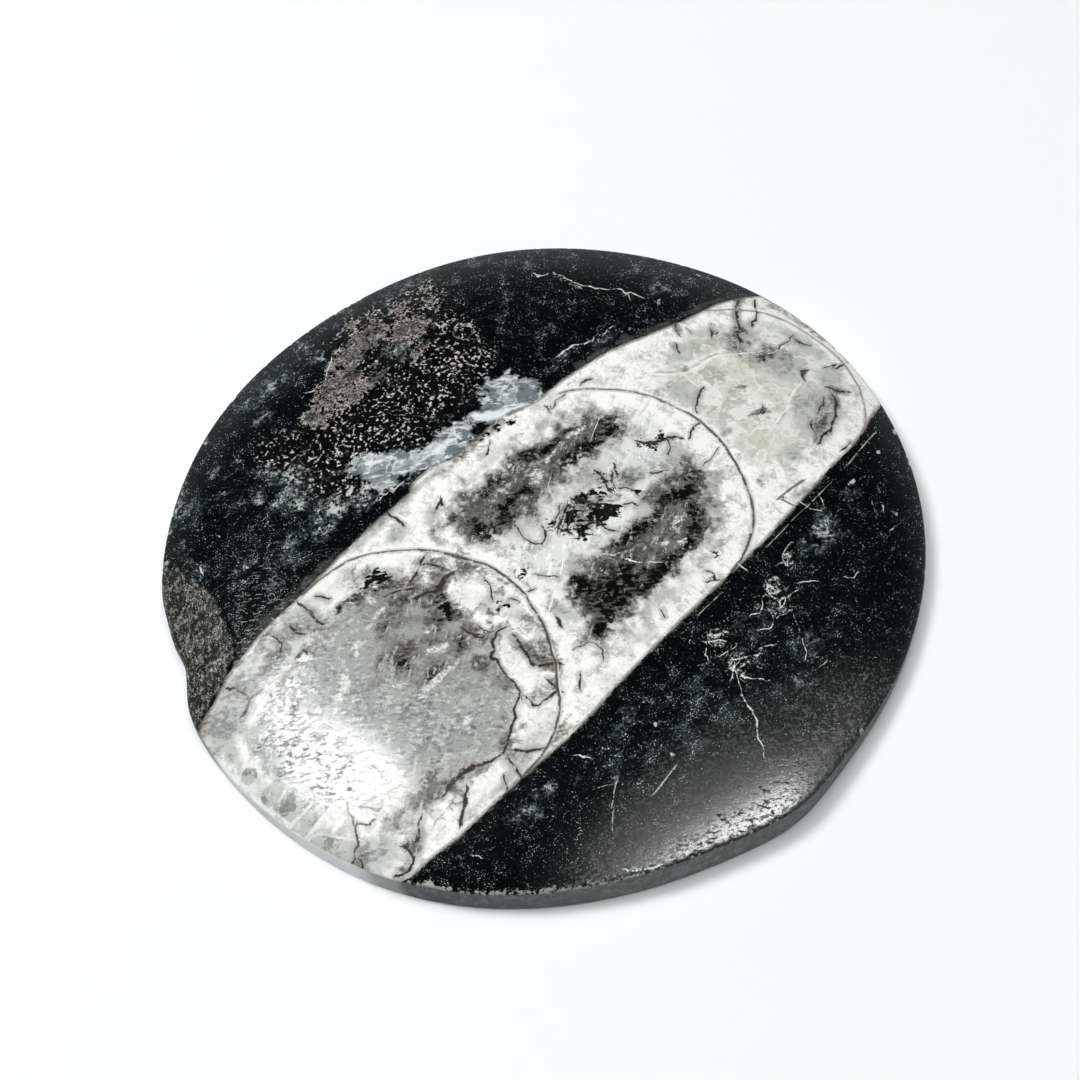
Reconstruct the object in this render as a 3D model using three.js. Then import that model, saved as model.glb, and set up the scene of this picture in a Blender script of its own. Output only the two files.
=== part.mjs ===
// A polished orthoceras fossil: an oval palm stone of black limestone, sawn flat underneath,
// with a straight-shelled orthocone lying lengthwise in it and ground off level with the stone.
// Fossil and limestone are one piece of rock, so the stone is one solid.
// Millimetres, +Z up, origin at the centre of the sawn base. +X runs along the fossil, to its narrow end.
import * as THREE from "three";

// Driving dimensions.
const LENGTH = 73.2; // across the disc, along the fossil
const WIDTH = 68.8; // across the disc, across the fossil
const THICKNESS = 7.8; // from the sawn base to the crown of the polished face
const RIM_HEIGHT = 2.75; // height of the sharp rim where the polished face meets the sawn wall
const WALL_UNDERCUT = 0.1; // how much smaller in radius the base is than the rim
const BASE_CHAMFER = 0.2; // worn edge between the base and the wall
const CROWN = { x: -0.07, y: 0.29 }; // the crown of the polished face, seen from above

// The disc was shaped by hand. Its outline strays from an oval in two faint waves and a soft corner.
// Azimuths and spreads in degrees, heights in mm.
const WAVES = [
  { count: 5, azimuth: -20, height: 0.06 },
  { count: 7, azimuth: 0, height: 0.08 },
];
const CORNERS = [{ azimuth: -99, spread: 9, height: 0.66 }];

// Where the rim stands higher (+) or was ground lower (-).
const RIM_SWELLS = [
  { azimuth: -112, spread: 30, height: 0.85 },
  { azimuth: -68, spread: 22, height: -0.55 },
  { azimuth: 166, spread: 24, height: -0.9 },
];

// The polished face falls from its crown to the rim partly as a gentle dome, shared all over the face,
// and for the rest as a rounded shoulder close to the rim. The gentle share changes round the disc.
const DOME_SHARE = 0.55;
const SHARE_SWELLS = [
  { azimuth: -170, spread: 40, height: 0.22 },
  { azimuth: -108, spread: 30, height: -0.17 },
];
const DOME_POWER = 2;
const SHOULDER_POWER = 8;

// A rough flake scar at the rim that the polishing never reached: a shallow bowl, centred just outside,
// where the edge is also bitten back.
const SCAR = { x: -34.2, y: 20, radius: 9.4, depth: 1.1 };
const BITES = [
  { azimuth: 152, spread: 5.5, height: -1.25 },
  { azimuth: 144, spread: 3.5, height: -0.3 },
];

// Mesh fineness.
const SEGMENTS = 144; // round the disc
const FACE_RINGS = 18; // from the rim to the crown
const RING_CROWDING = 0.75; // below 1, the rings crowd towards the rim

const cosDegrees = (a) => Math.cos(THREE.MathUtils.degToRad(a));
const sinDegrees = (a) => Math.sin(THREE.MathUtils.degToRad(a));
const wrapDegrees = (a) => THREE.MathUtils.euclideanModulo(a + 180, 360) - 180;

// Sum of a list of swells at an azimuth, each a bell of its own height and spread.
const swells = (list, azimuth) =>
  list.reduce(
    (sum, s) => sum + s.height * Math.exp(-((wrapDegrees(azimuth - s.azimuth) / s.spread) ** 2)),
    0,
  );
const waves = (list, azimuth) =>
  list.reduce((sum, w) => sum + w.height * cosDegrees(w.count * (azimuth - w.azimuth)), 0);

// The rim, seen from the crown: as it was ground, and as it is now.
const groundRadius = (azimuth) =>
  (LENGTH + WIDTH) / 4 +
  ((LENGTH - WIDTH) / 4) * cosDegrees(2 * azimuth) +
  waves(WAVES, azimuth) +
  swells(CORNERS, azimuth);
const rimRadius = (azimuth) => groundRadius(azimuth) + swells(BITES, azimuth);
const rimHeight = (azimuth) => RIM_HEIGHT + swells(RIM_SWELLS, azimuth);

// How far the scar goes below the polished face.
function scarDepth(x, y) {
  const share = Math.hypot(x - SCAR.x, y - SCAR.y) / SCAR.radius;
  return SCAR.depth * Math.max(0, 1 - share ** 2);
}

// A point at an azimuth and radius from the crown.
const pointAt = (azimuth, radius, height) =>
  new THREE.Vector3(
    CROWN.x + radius * cosDegrees(azimuth),
    CROWN.y + radius * sinDegrees(azimuth),
    height,
  );

// A point of the upper face, share being 0 at the crown and 1 at the rim.
function facePoint(azimuth, share) {
  const radius = share * rimRadius(azimuth);
  const rho = radius / groundRadius(azimuth);
  const gentle = DOME_SHARE + swells(SHARE_SWELLS, azimuth);
  const fall = gentle * rho ** DOME_POWER + (1 - gentle) * rho ** SHOULDER_POWER;
  const height = THICKNESS - (THICKNESS - rimHeight(azimuth)) * fall;
  const point = pointAt(azimuth, radius, height);
  point.z -= scarDepth(point.x, point.y);
  return point;
}

// A point of the wall, rise being 0 at the chamfer and 1 at the rim.
function wallPoint(azimuth, rise) {
  const rim = facePoint(azimuth, 1);
  const radius = rimRadius(azimuth) - WALL_UNDERCUT * (1 - rise);
  return pointAt(azimuth, radius, THREE.MathUtils.lerp(BASE_CHAMFER, rim.z, rise));
}

// Half section of the stone, from the middle of the base round to the crown.
const section = [
  (azimuth) => pointAt(azimuth, 0, 0),
  (azimuth) => pointAt(azimuth, rimRadius(azimuth) - WALL_UNDERCUT - BASE_CHAMFER, 0),
  (azimuth) => wallPoint(azimuth, 0),
  (azimuth) => wallPoint(azimuth, 0.5),
];
for (let ring = 0; ring <= FACE_RINGS; ring++) {
  const share = (1 - ring / FACE_RINGS) ** RING_CROWDING;
  section.push((azimuth) => facePoint(azimuth, share));
}

// A round blank with as many rings as the section has points. Each vertex is then moved to its place.
const profile = section.map(
  (_, i) => new THREE.Vector2(Math.sin((Math.PI * i) / (section.length - 1)), i),
);
const stoneGeometry = new THREE.LatheGeometry(profile, SEGMENTS);
const vertices = stoneGeometry.getAttribute("position");
for (let i = 0; i < vertices.count; i++) {
  const turn = Math.floor(i / section.length) % SEGMENTS;
  const point = section[i % section.length]((360 * turn) / SEGMENTS);
  vertices.setXYZ(i, point.x, point.y, point.z);
}
stoneGeometry.computeVertexNormals();

const limestone = new THREE.MeshStandardMaterial({
  name: "polished_limestone",
  color: 0x23272a,
  roughness: 0.22,
  metalness: 0,
});

const stone = new THREE.Mesh(stoneGeometry, limestone);
stone.name = "fossil_stone";

const part = new THREE.Group();
part.add(stone);

export default part;
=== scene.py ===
import math

import bpy
import numpy as np
from mathutils import Matrix, Quaternion, Vector, noise


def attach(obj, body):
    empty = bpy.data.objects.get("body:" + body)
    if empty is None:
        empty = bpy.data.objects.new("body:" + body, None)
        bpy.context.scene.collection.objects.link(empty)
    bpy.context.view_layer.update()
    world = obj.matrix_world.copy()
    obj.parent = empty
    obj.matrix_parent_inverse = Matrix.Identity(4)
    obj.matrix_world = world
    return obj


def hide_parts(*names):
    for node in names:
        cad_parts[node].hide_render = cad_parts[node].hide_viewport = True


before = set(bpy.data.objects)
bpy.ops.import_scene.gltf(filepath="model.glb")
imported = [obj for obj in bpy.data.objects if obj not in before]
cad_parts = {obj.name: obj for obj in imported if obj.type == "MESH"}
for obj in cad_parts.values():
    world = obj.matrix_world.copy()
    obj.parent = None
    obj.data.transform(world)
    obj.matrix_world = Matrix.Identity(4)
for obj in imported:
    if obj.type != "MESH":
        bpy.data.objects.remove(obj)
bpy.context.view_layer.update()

# ---------------------------------------------------------------------------
# The stone's body: one disc of black limestone with a straight-shelled fossil
# running through it, sawn flat below, ground to a low dome above and polished.
# ---------------------------------------------------------------------------

MM = 0.001
CROWN_HEIGHT = 7.795
CROWN_AXIS = (-0.07, 0.29)
INSIDE_CAD = 0.02
GRID_CELLS = 288
GROUND_RADIUS = 35.5
RIM_LEVEL = 2.75
RIM_ROLL = 0.22
ROLL_SHARE = 0.3
WALL_ROWS = 6
FOOT_ROW = WALL_ROWS + 3
WALL_UNDERCUT = 0.1
BASE_CHAMFER = 0.2
ROW_STEP = 0.1
SCAR_BOWL = {"x": -34.2, "y": 20.0, "reach": 9.4, "depth": 1.1}


def swell(turn, centre, width):
    """1 at a centre on the rim, falling to 0 round it. Turn, centre and width are in degrees."""
    off = (turn - centre + 180) % 360 - 180
    return np.exp(-(off / width) ** 2)


def cosd(degrees):
    return np.cos(np.radians(degrees))


def sind(degrees):
    return np.sin(np.radians(degrees))


def ground_radius(turn):
    """The outline as it was ground: an oval with slow waves and one soft corner."""
    waves = 0.06 * cosd(5 * (turn + 20)) + 0.08 * cosd(7 * turn)
    return GROUND_RADIUS + 1.1 * cosd(2 * turn) + waves + 0.66 * swell(turn, -99, 9)


def rim_radius(turn):
    """The outline with what has broken away at the scar."""
    bites = 1.25 * swell(turn, 152, 5.5) + 0.3 * swell(turn, 144, 3.5)
    return ground_radius(turn) - bites - INSIDE_CAD


def rim_height(turn):
    """Height of the rim, which stands higher in one place and is worn down in two."""
    raised = 0.85 * swell(turn, -112, 30)
    worn = 0.55 * swell(turn, -68, 22) + 0.9 * swell(turn, 166, 24)
    return RIM_LEVEL + raised - worn


def dome_share(turn):
    """How much of the fall to the rim is spread over the dome. The rest is its rounded shoulder."""
    return 0.55 + 0.22 * swell(turn, -170, 40) - 0.17 * swell(turn, -108, 30)


def ground_height(x, y):
    """Height of the top: the polished dome, less the shallow bowl of the scar."""
    turn = np.degrees(np.arctan2(y - CROWN_AXIS[1], x - CROWN_AXIS[0]))
    out = np.hypot(x - CROWN_AXIS[0], y - CROWN_AXIS[1])
    share = np.minimum(out / ground_radius(turn), 1.0)
    dome = dome_share(turn)
    fall = dome * share ** 2 + (1 - dome) * share ** 8
    polished = CROWN_HEIGHT - (CROWN_HEIGHT - rim_height(turn)) * fall
    away = (x - SCAR_BOWL["x"]) ** 2 + (y - SCAR_BOWL["y"]) ** 2
    return polished - SCAR_BOWL["depth"] * np.maximum(0, 1 - away / SCAR_BOWL["reach"] ** 2)


# The blank is a square grid with a wall and a foot pulled down from its edge in thin rows.
bpy.ops.object.select_all(action="DESELECT")
bpy.ops.mesh.primitive_grid_add(x_subdivisions=GRID_CELLS, y_subdivisions=GRID_CELLS, size=2)
stone = bpy.context.object
stone.name = "polished_fossil_stone"
bpy.ops.object.mode_set(mode="EDIT")
bpy.ops.mesh.select_mode(type="EDGE")
bpy.ops.mesh.select_all(action="SELECT")
bpy.ops.mesh.region_to_loop()
for row in range(FOOT_ROW):
    bpy.ops.mesh.extrude_edges_move(TRANSFORM_OT_translate={"value": (0, 0, -ROW_STEP)})
bpy.ops.mesh.edge_face_add()
bpy.ops.object.mode_set(mode="OBJECT")

# Its squares become rings round the crown, and its rows become the rolled rim, the wall and the foot.
blank = np.zeros(len(stone.data.vertices) * 3)
stone.data.vertices.foreach_get("co", blank)
blank = blank.reshape(-1, 3)
row_of = np.rint(-blank[:, 2] / ROW_STEP).astype(int)
across = np.abs(blank[:, 0]) > np.abs(blank[:, 1])
long_side = np.where(across, blank[:, 0], blank[:, 1])
short_side = np.where(across, blank[:, 1], blank[:, 0])
quarter = 45.0 * short_side / np.where(np.abs(long_side) < 1e-9, 1.0, long_side)
turn = np.where(across, quarter, 90.0 - quarter) + np.where(long_side < 0, 180.0, 0.0)
ring = np.abs(long_side)
rim = rim_radius(turn)
down_wall = np.clip((row_of - 2) / WALL_ROWS, 0, 1)
radius = np.where(row_of == 0, ring * (rim - RIM_ROLL), rim - down_wall * WALL_UNDERCUT)
radius = np.where(row_of == 1, rim - ROLL_SHARE * RIM_ROLL, radius)
radius = np.where(row_of == FOOT_ROW, radius - BASE_CHAMFER, radius)
x = CROWN_AXIS[0] + radius * cosd(turn)
y = CROWN_AXIS[1] + radius * sind(turn)
top = ground_height(x, y)
z = np.where(row_of == 1, top - ROLL_SHARE * RIM_ROLL, top)
wall_top = top - RIM_ROLL
z = np.where(row_of >= 2, wall_top + (BASE_CHAMFER - wall_top) * down_wall, z)
z = np.where(row_of == FOOT_ROW, 0.0, z)

# ---------------------------------------------------------------------------
# What the stone is made of is written onto its mesh as distances, in mm, to the
# shell's lines, cracks and patches, which the polish cuts through.
# ---------------------------------------------------------------------------

FAR = 4.0
LINE_MARGIN = 2.0
PLAIN_WIDTH = 0.2
# Two shakes, each with its reach in mm and its pace, a seed for the second axis, and their strength.
SHAKES = [(0.32, 0.34), (0.14, 1.3)]
OTHER_AXIS = Vector((31.7, 11.3, 5.1))
SHAKE_GAIN = 1.6


def shaken(seed):
    """Where the mesh's points seem to lie, moved a little, so that what is drawn there is crooked."""
    move = np.zeros((2, len(x)))
    for reach, pace in SHAKES:
        for i in np.nonzero(row_of < FOOT_ROW)[0]:
            spot = Vector((x[i] * pace + seed, y[i] * pace, seed))
            move[0, i] += reach * noise.noise(spot)
            move[1, i] += reach * noise.noise(spot + OTHER_AXIS)
    return x + SHAKE_GAIN * move[0], y + SHAKE_GAIN * move[1]


straight = (x, y)
crooked = shaken(3.7)


def segments(path):
    """The straight stretches of a path, each as its two ends."""
    return zip(path[:-1], path[1:])


def within(path, margin, places):
    """Which points lie in the box round a path."""
    xs = [p[0] for p in path]
    ys = [p[1] for p in path]
    wide = (places[0] > min(xs) - margin) & (places[0] < max(xs) + margin)
    return np.nonzero(wide & (places[1] > min(ys) - margin) & (places[1] < max(ys) + margin))[0]


def to_path(path, near, places):
    """Distance from the points near to a path, with the side they lie on."""
    best = np.full(len(near), 1e9)
    side = np.ones(len(near))
    px, py = places[0][near], places[1][near]
    for (ax, ay), (bx, by) in segments(path):
        dx, dy = bx - ax, by - ay
        along = np.clip(((px - ax) * dx + (py - ay) * dy) / (dx * dx + dy * dy), 0, 1)
        gap = np.hypot(px - ax - along * dx, py - ay - along * dy)
        closer = gap < best
        best = np.where(closer, gap, best)
        side = np.where(closer, np.where(dx * (py - ay) - dy * (px - ax) >= 0, 1.0, -1.0), side)
    return best, side


def keep(name, values):
    """Writes one number per point of the mesh, under a name that the finish reads."""
    made = stone.data.attributes.new(name, "FLOAT", "POINT")
    made.data.foreach_set("value", np.asarray(values, np.float32))


def write_lines(name, lines, places=crooked):
    """Each line is (width, path), kept as a signed distance, a plain one, and the width."""
    signed = np.full(len(x), FAR)
    plain = np.full(len(x), FAR)
    wide = np.full(len(x), PLAIN_WIDTH)
    for width, path in lines:
        near = within(path, LINE_MARGIN, places)
        gap, side = to_path(path, near, places)
        closer = gap - width / 2 < plain[near]
        chosen = near[closer]
        plain[chosen] = (gap - width / 2)[closer]
        signed[chosen] = (side * gap)[closer]
        wide[chosen] = width
    keep(name, signed)
    keep(name + "_near", plain)
    keep(name + "_wide", wide)


def inside(path, margin=FAR, places=crooked):
    """Signed distance to a closed outline, positive inside."""
    closed = list(path) + [path[0]]
    near = within(closed, margin, places)
    gap, _ = to_path(closed, near, places)
    odd = np.zeros(len(near), bool)
    px, py = places[0][near], places[1][near]
    for (ax, ay), (bx, by) in segments(closed):
        if ay == by:
            continue
        crosses = (ay > py) != (by > py)
        odd ^= crosses & (px < (bx - ax) * (py - ay) / (by - ay) + ax)
    out = np.full(len(x), -FAR)
    out[near] = np.where(odd, gap, -gap)
    return np.clip(out, -FAR, FAR)


def ellipse(cx, cy, rx, ry, lean=0):
    """Distance from the middle of an ellipse, in its own radii, so that its edge is at 1."""
    dx, dy = crooked[0] - cx, crooked[1] - cy
    along = dx * cosd(lean) + dy * sind(lean)
    over = dy * cosd(lean) - dx * sind(lean)
    return np.hypot(along / rx, over / ry)


def write_patches(name, outlines=(), ovals=(), places=crooked):
    """Signed distance to the nearest of some outlines and ovals, positive inside."""
    whole = np.full(len(x), -FAR)
    for path in outlines:
        whole = np.maximum(whole, inside(path, places=places))
    for cx, cy, rx, ry in ovals:
        depth = (1 - ellipse(cx, cy, rx, ry)) * min(rx, ry)
        whole = np.maximum(whole, np.clip(depth, -FAR, FAR))
    keep(name, whole)
    return whole


def write_clouds(name, clouds):
    """Each cloud is (x, y, rx, ry, lean, strength), soft all round."""
    whole = np.zeros(len(x))
    for cx, cy, rx, ry, lean, strength in clouds:
        whole = np.maximum(whole, strength * np.exp(-ellipse(cx, cy, rx, ry, lean) ** 2))
    keep(name, whole)
    return whole


# The shell is a long tapering tube: its two walls, from the wide end to the narrow one.
UPPER_WALL = [
    (-40, 9.0), (-35, 10.6), (-34, 11.1), (-32, 11.3), (-30, 11.9), (-28, 12.0), (-25, 12.2), (-20, 11.9),
    (-10, 11.9), (-6, 11.7), (-5, 12.3), (-2.5, 12.2), (-1, 11.5), (0, 11.3), (6, 11.2), (8, 10.4),
    (9.8, 10.0), (13, 9.9), (15, 9.65), (17, 9.35), (19, 9.0), (21, 8.4), (22, 8.0), (24, 7.4), (27, 6.5),
    (29, 6.2), (31, 5.9), (33, 5.4), (34, 5.0), (36, 4.3), (40, 2.6),
]
LOWER_WALL = [
    (-40, -11.4), (-34, -13.2), (-33, -13.8), (-31, -14.1), (-28, -14.8), (-25, -15.1), (-20, -15.5),
    (-17, -15.9), (-15, -16.1), (-12, -16.1), (-8, -15.95), (0, -15.8), (12, -15.75), (16, -15.4),
    (20, -15.1), (23, -14.75), (26, -14.6), (29, -14.0), (31, -13.3), (33, -12.9), (36, -11.6), (40, -10),
]
EVERYWHERE = 90
keep("band", inside(UPPER_WALL + LOWER_WALL[::-1], EVERYWHERE, straight))

# Thin brown shell lines: the curved walls between the chambers, and beside the upper part of each a white
# line that is a painted highlight.
SEPTA = [
    (0.26, [(-20, 11.85), (-18, 11.7), (-16, 11.3), (-15, 11), (-14, 10.5), (-13, 9.8), (-12, 8.9),
        (-11, 7.9), (-10, 6.8)]),
    (0.38, [(-10, 6.8), (-9, 5.3), (-8.3, 3.8), (-7.8, 2.5), (-7.2, 1.2), (-7, 0), (-6.95, -1), (-7, -2),
        (-7.05, -3), (-7.2, -3.8), (-7.6, -4.6), (-8, -6), (-8.5, -7.2), (-9, -8), (-9.6, -8.9)]),
    (0.3, [(-9.6, -8.9), (-10.1, -9.6), (-10.6, -10.5), (-11.3, -11.2), (-12.1, -12), (-12.9, -13),
        (-14, -13.9), (-15.2, -14.6), (-16.5, -15.1), (-18, -15.4), (-20, -15.45)]),
    (0.24, [(11.7, 9), (12.5, 8.6), (13.2, 8), (14, 7.3), (15, 6.1), (15.7, 5.3), (16.3, 4.4),
        (16.8, 3.6), (17.1, 2.9), (17.4, 2.2), (17.6, 1.2), (17.8, 0.2), (18, -0.8)]),
    (0.34, [(18, -0.8), (18.2, -1.5), (18.25, -2.2), (18.2, -3.2), (18.1, -4.2), (17.95, -5.2),
        (17.7, -6.2), (17.2, -7.5), (16.8, -8.5), (16.3, -9.4), (15.9, -10.2), (15.3, -11), (14.7, -12),
        (14, -12.8), (13, -13.7), (12, -14.3), (11, -14.8), (10, -15.2), (9, -15.5), (7.5, -15.7)]),
    (0.2, [(29.6, 6), (30.2, 5.5), (31, 4.9), (31.8, 4.3), (32.4, 3.7), (33.2, 3), (34, 2), (34.5, 0.8),
        (34.8, 0), (35, -1), (35.15, -2.5), (35.2, -4), (35.15, -5.5), (34.95, -7), (34.5, -8), (34, -9),
        (33.4, -10.2), (32.5, -11.2), (31.5, -12.3), (30.7, -13), (30, -13.4)]),
]
write_lines("septum", SEPTA, straight)
# The painted highlight: the first points of each septum, moved a little to one side and drawn white.
HIGHLIGHT_WIDTH = 0.22
HIGHLIGHT_POINTS = 12
highlight_paths = [[(px + 0.3, py + 0.12) for px, py in path[:HIGHLIGHT_POINTS]] for _, path in SEPTA]
write_lines("septum_highlight", [(HIGHLIGHT_WIDTH, path) for path in highlight_paths], straight)

# Dark cracks and stain lines in the white calcite of the three chambers.
CRACKS = [
    (0.22, [(-30.6, 11), (-30.4, 10.2), (-30.3, 9.4), (-30.3, 8.7)]),
    (0.3, [(-31.5, 8.3), (-30.3, 8.7), (-29, 8.4)]),
    (0.24, [(-24.8, 11.3), (-25, 10.6), (-24.9, 10), (-25.6, 9.5)]),
    (0.34, [(-23, 10.3), (-22.9, 9.4), (-22.6, 8.9)]),
    (0.34, [(-20.8, 11.5), (-20.8, 10.2), (-21.1, 9.5), (-21, 8.5)]), (0.22, [(-19.3, 10.9), (-18.9, 9.7)]),
    (0.24, [(-8.8, 11.8), (-8.8, 10.2), (-8.85, 9.6)]), (0.26, [(-25, 7.8), (-24, 7.7), (-24.2, 7.3)]),
    (0.42, [(-14, 3.6), (-13.2, 3.2), (-12.6, 2.6), (-11.5, 2.7), (-10.8, 3), (-10, 3), (-9.6, 2.9)]),
    (0.3, [(-13, 5.2), (-12, 5.1), (-11.2, 5.2), (-10.8, 5.5), (-10, 5.9)]),
    (0.24, [(-10.9, 5.3), (-10, 4.2)]), (0.2, [(-8.6, 0.2), (-8.7, -0.5), (-9.1, -1.3), (-9.6, -1.9)]),
    (0.3, [(-10.9, -4.7), (-11.8, -4.5), (-12.5, -4.8), (-13.3, -5.4), (-13.8, -6), (-14, -7),
        (-14.3, -8), (-14.4, -9), (-15, -9.8), (-15.8, -10.4), (-16.8, -11.2), (-18, -11.7),
        (-18.9, -12.2), (-19.9, -12.5), (-21.2, -12.3)]),
    (0.36, [(-21.2, -12.3), (-22.3, -11.8), (-23.2, -11.3), (-24.3, -10.9), (-26, -11)]),
    (0.26, [(-13.2, -1.8), (-13.1, -3.2), (-12.7, -3.9), (-12.2, -3.8)]),
    (0.2, [(-12.2, -2.5), (-12, -3.7)]), (0.3, [(-11.2, -6), (-11.3, -7.5), (-11.7, -8.6), (-11.8, -9.2)]),
    (0.42, [(-11.8, -9.2), (-11.3, -9.8), (-11, -10.3), (-10.6, -10.8)]),
    (0.3, [(-14.9, -10.5), (-15, -11.5), (-14.5, -12.1), (-13.5, -12.15), (-12.6, -12.1)]),
    (0.22, [(-12.3, -10.8), (-12.3, -12), (-12.1, -12.4)]),
    (0.32, [(-18.9, -13.2), (-18.3, -14.2), (-17.8, -14.6), (-17.3, -15)]),
    (0.28, [(-20, -13.5), (-20.2, -14.2), (-20.4, -14.9), (-20.4, -15.3)]),
    (0.24, [(-21.4, -14.2), (-21.9, -14.8), (-22.2, -15.1)]),
    (0.42, [(-27, -14.1), (-26.4, -13.8), (-25.5, -13.3), (-24.8, -12.7), (-24.2, -12.2)]),
    (0.3, [(-31.5, -11.7), (-31, -12.2), (-30, -12.1), (-29.4, -11.5), (-28.8, -11.1)]),
    (0.24, [(-35.5, -8.95), (-35, -8.8), (-34, -7.9), (-33, -6.9), (-32.3, -5.8), (-31.9, -5.2)]),
    (0.2, [(-32.6, -7), (-32.3, -7.5), (-31.8, -7.6)]),
    (0.2, [(-31.5, -6.3), (-31.1, -7.2), (-30.7, -7.5), (-30, -7.4)]), (0.22, [(-8.4, -3), (-8.1, -3.6)]),
    (0.18, [(-4.8, -2.9), (-4.4, -3.9), (-4.1, -4.7)]), (0.2, [(-6.6, -3.8), (-6.3, -4.1)]),
    (0.34, [(-7.2, -7), (-7.5, -7.6), (-7.7, -8.2)]), (0.3, [(-5.8, 8.9), (-5, 9.1), (-5.1, 8.7)]),
    (0.2, [(-2.5, 2), (-2.7, 1), (-2.9, 0), (-3, -1), (-2.6, -1.4), (-2, -1.3), (-1.5, -0.7), (-1, 0)]),
    (0.16, [(-8.5, -11), (-7.5, -11.3), (-7, -12), (-7, -12.7), (-7.6, -13.3)]),
    (0.24, [(-9.8, -12.8), (-10.7, -13.6)]), (0.24, [(-0.2, -14.1), (-0.5, -14.7)]),
    (0.24, [(5, -15), (5.7, -15.4)]), (0.2, [(5.8, -14), (6, -14.7), (5.6, -15)]),
    (0.2, [(1.7, 9.3), (2.7, 9.7)]), (0.18, [(9.3, 8), (9.6, 8.8)]),
    (0.18, [(10, 8.4), (11, 8.7), (11.8, 8.8)]), (0.18, [(13.8, 8.2), (14.4, 8.1), (14.8, 7.9)]),
    (0.26, [(2.7, -2.8), (2.9, -4), (3.1, -4.8), (3.4, -5.4)]), (0.24, [(0, -1.4), (0.4, -2.4)]),
    (0.26, [(3.3, 0), (3.3, -0.7)]), (0.24, [(3.8, -0.3), (3.8, -2)]),
    (0.3, [(7.3, 0.4), (7.2, -0.3), (6.8, -0.9), (6.1, -1.9)]), (0.26, [(8, -0.8), (7.3, -1), (7, -1.7)]),
    (0.28, [(7.2, -2.2), (7.6, -2.7), (7.8, -3.1)]), (0.26, [(10.4, -3.3), (11, -3.8), (11.6, -4.3)]),
    (0.24, [(6, -3.9), (6.5, -4.4), (6.6, -4.8)]), (0.24, [(8.4, -1.1), (8.9, -0.5), (9, -0.1)]),
    (0.26, [(-0.5, -1.4), (0.6, -0.9), (2.4, -0.2)]), (0.2, [(-0.4, -0.6), (1, -0.3), (2.1, 0.3)]),
    (0.2, [(0.2, -1.9), (1.4, -1.3), (2.6, -0.9)]),
    (0.34, [(12.5, -0.2), (12.9, -0.8), (13.4, -1.2), (14, -1.6), (14.6, -1.9), (15, -1.95),
        (15.4, -2.5), (15.65, -2.95)]),
    (0.2, [(14.8, -2.1), (14, -2.6), (13.2, -3.1)]),
    (0.26, [(16.1, -3.4), (16.7, -3.1), (17.5, -2.85), (18.1, -2.8)]),
    (0.22, [(14.7, -6.25), (15.5, -6.2), (16.8, -6.1)]),
    (0.24, [(29.7, 2.2), (30.5, 3), (31.8, 4.2), (32.5, 4.2)]),
    (0.26, [(31.3, 1.7), (32, 2.1), (33, 2.6), (33.5, 3), (34.7, 3.7)]),
    (0.22, [(27.2, 3.1), (27.8, 3.7), (28.3, 4.2)]), (0.18, [(27.9, 3.1), (28.2, 3.2)]),
    (0.24, [(25.1, 5.4), (25.5, 6.1), (25.9, 6.7)]), (0.2, [(23.4, 4.3), (23.9, 4.9)]),
    (0.18, [(26, 4.9), (26.2, 5.4)]), (0.22, [(18.9, -1.7), (19.6, -1.1), (20.5, -0.7), (21.3, -0.35)]),
    (0.24, [(30.6, -2.5), (31.5, -2.2), (32.6, -2.1)]), (0.2, [(33, -1.7), (33.6, -1.7)]),
    (0.2, [(33.3, -2.5), (33.6, -3.5)]), (0.3, [(29.4, -6.3), (29.9, -5.7), (30.3, -5.2), (30.8, -5.6)]),
    (0.18, [(22.4, -5.6), (23, -6), (23.9, -6.5)]), (0.18, [(23.3, -5.9), (24, -5.6)]),
    (0.22, [(32.4, -6.5), (33.2, -6.7), (34, -6.9)]), (0.2, [(33.2, -7.2), (34.8, -7.3)]),
    (0.22, [(31, -9), (31.2, -9.5), (31.8, -9.6)]),
    (0.3, [(26.5, -12.2), (27, -11.8), (28, -11.1), (28.8, -10.4), (29.3, -10.3), (30, -9.6)]),
    (0.2, [(27.3, -9.6), (28.4, -9.3), (29.2, -9)]), (0.2, [(25.1, -10.9), (25.3, -10.3), (25.9, -9.9)]),
    (0.26, [(24.2, -12.1), (25.4, -11.7), (26.8, -11.9)]),
    (0.2, [(25.5, -14.2), (26.2, -14.4), (27, -14.2)]),
    (0.3, [(28.4, 1), (29.3, 1.9), (30.6, 3.1), (31.9, 4.2), (33, 4.9)]),
    (0.34, [(30.6, -8.6), (31, -9.3), (31.9, -9.8)]), (0.3, [(33.3, -2.6), (33.5, -3), (33.8, -3.5)]),
    (0.3, [(-35.6, -9), (-34.9, -8.8), (-34.6, -9.4), (-34.9, -10.1), (-35.1, -10.7)]),
    (0.3, [(-33.9, -12.9), (-33, -13.2), (-32, -13), (-31.8, -12.3), (-31.2, -11.8)]),
    (0.24, [(-15.4, 5.8), (-14.3, 5.5), (-13.6, 4.6)]),
]
write_lines("crack", CRACKS)
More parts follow.
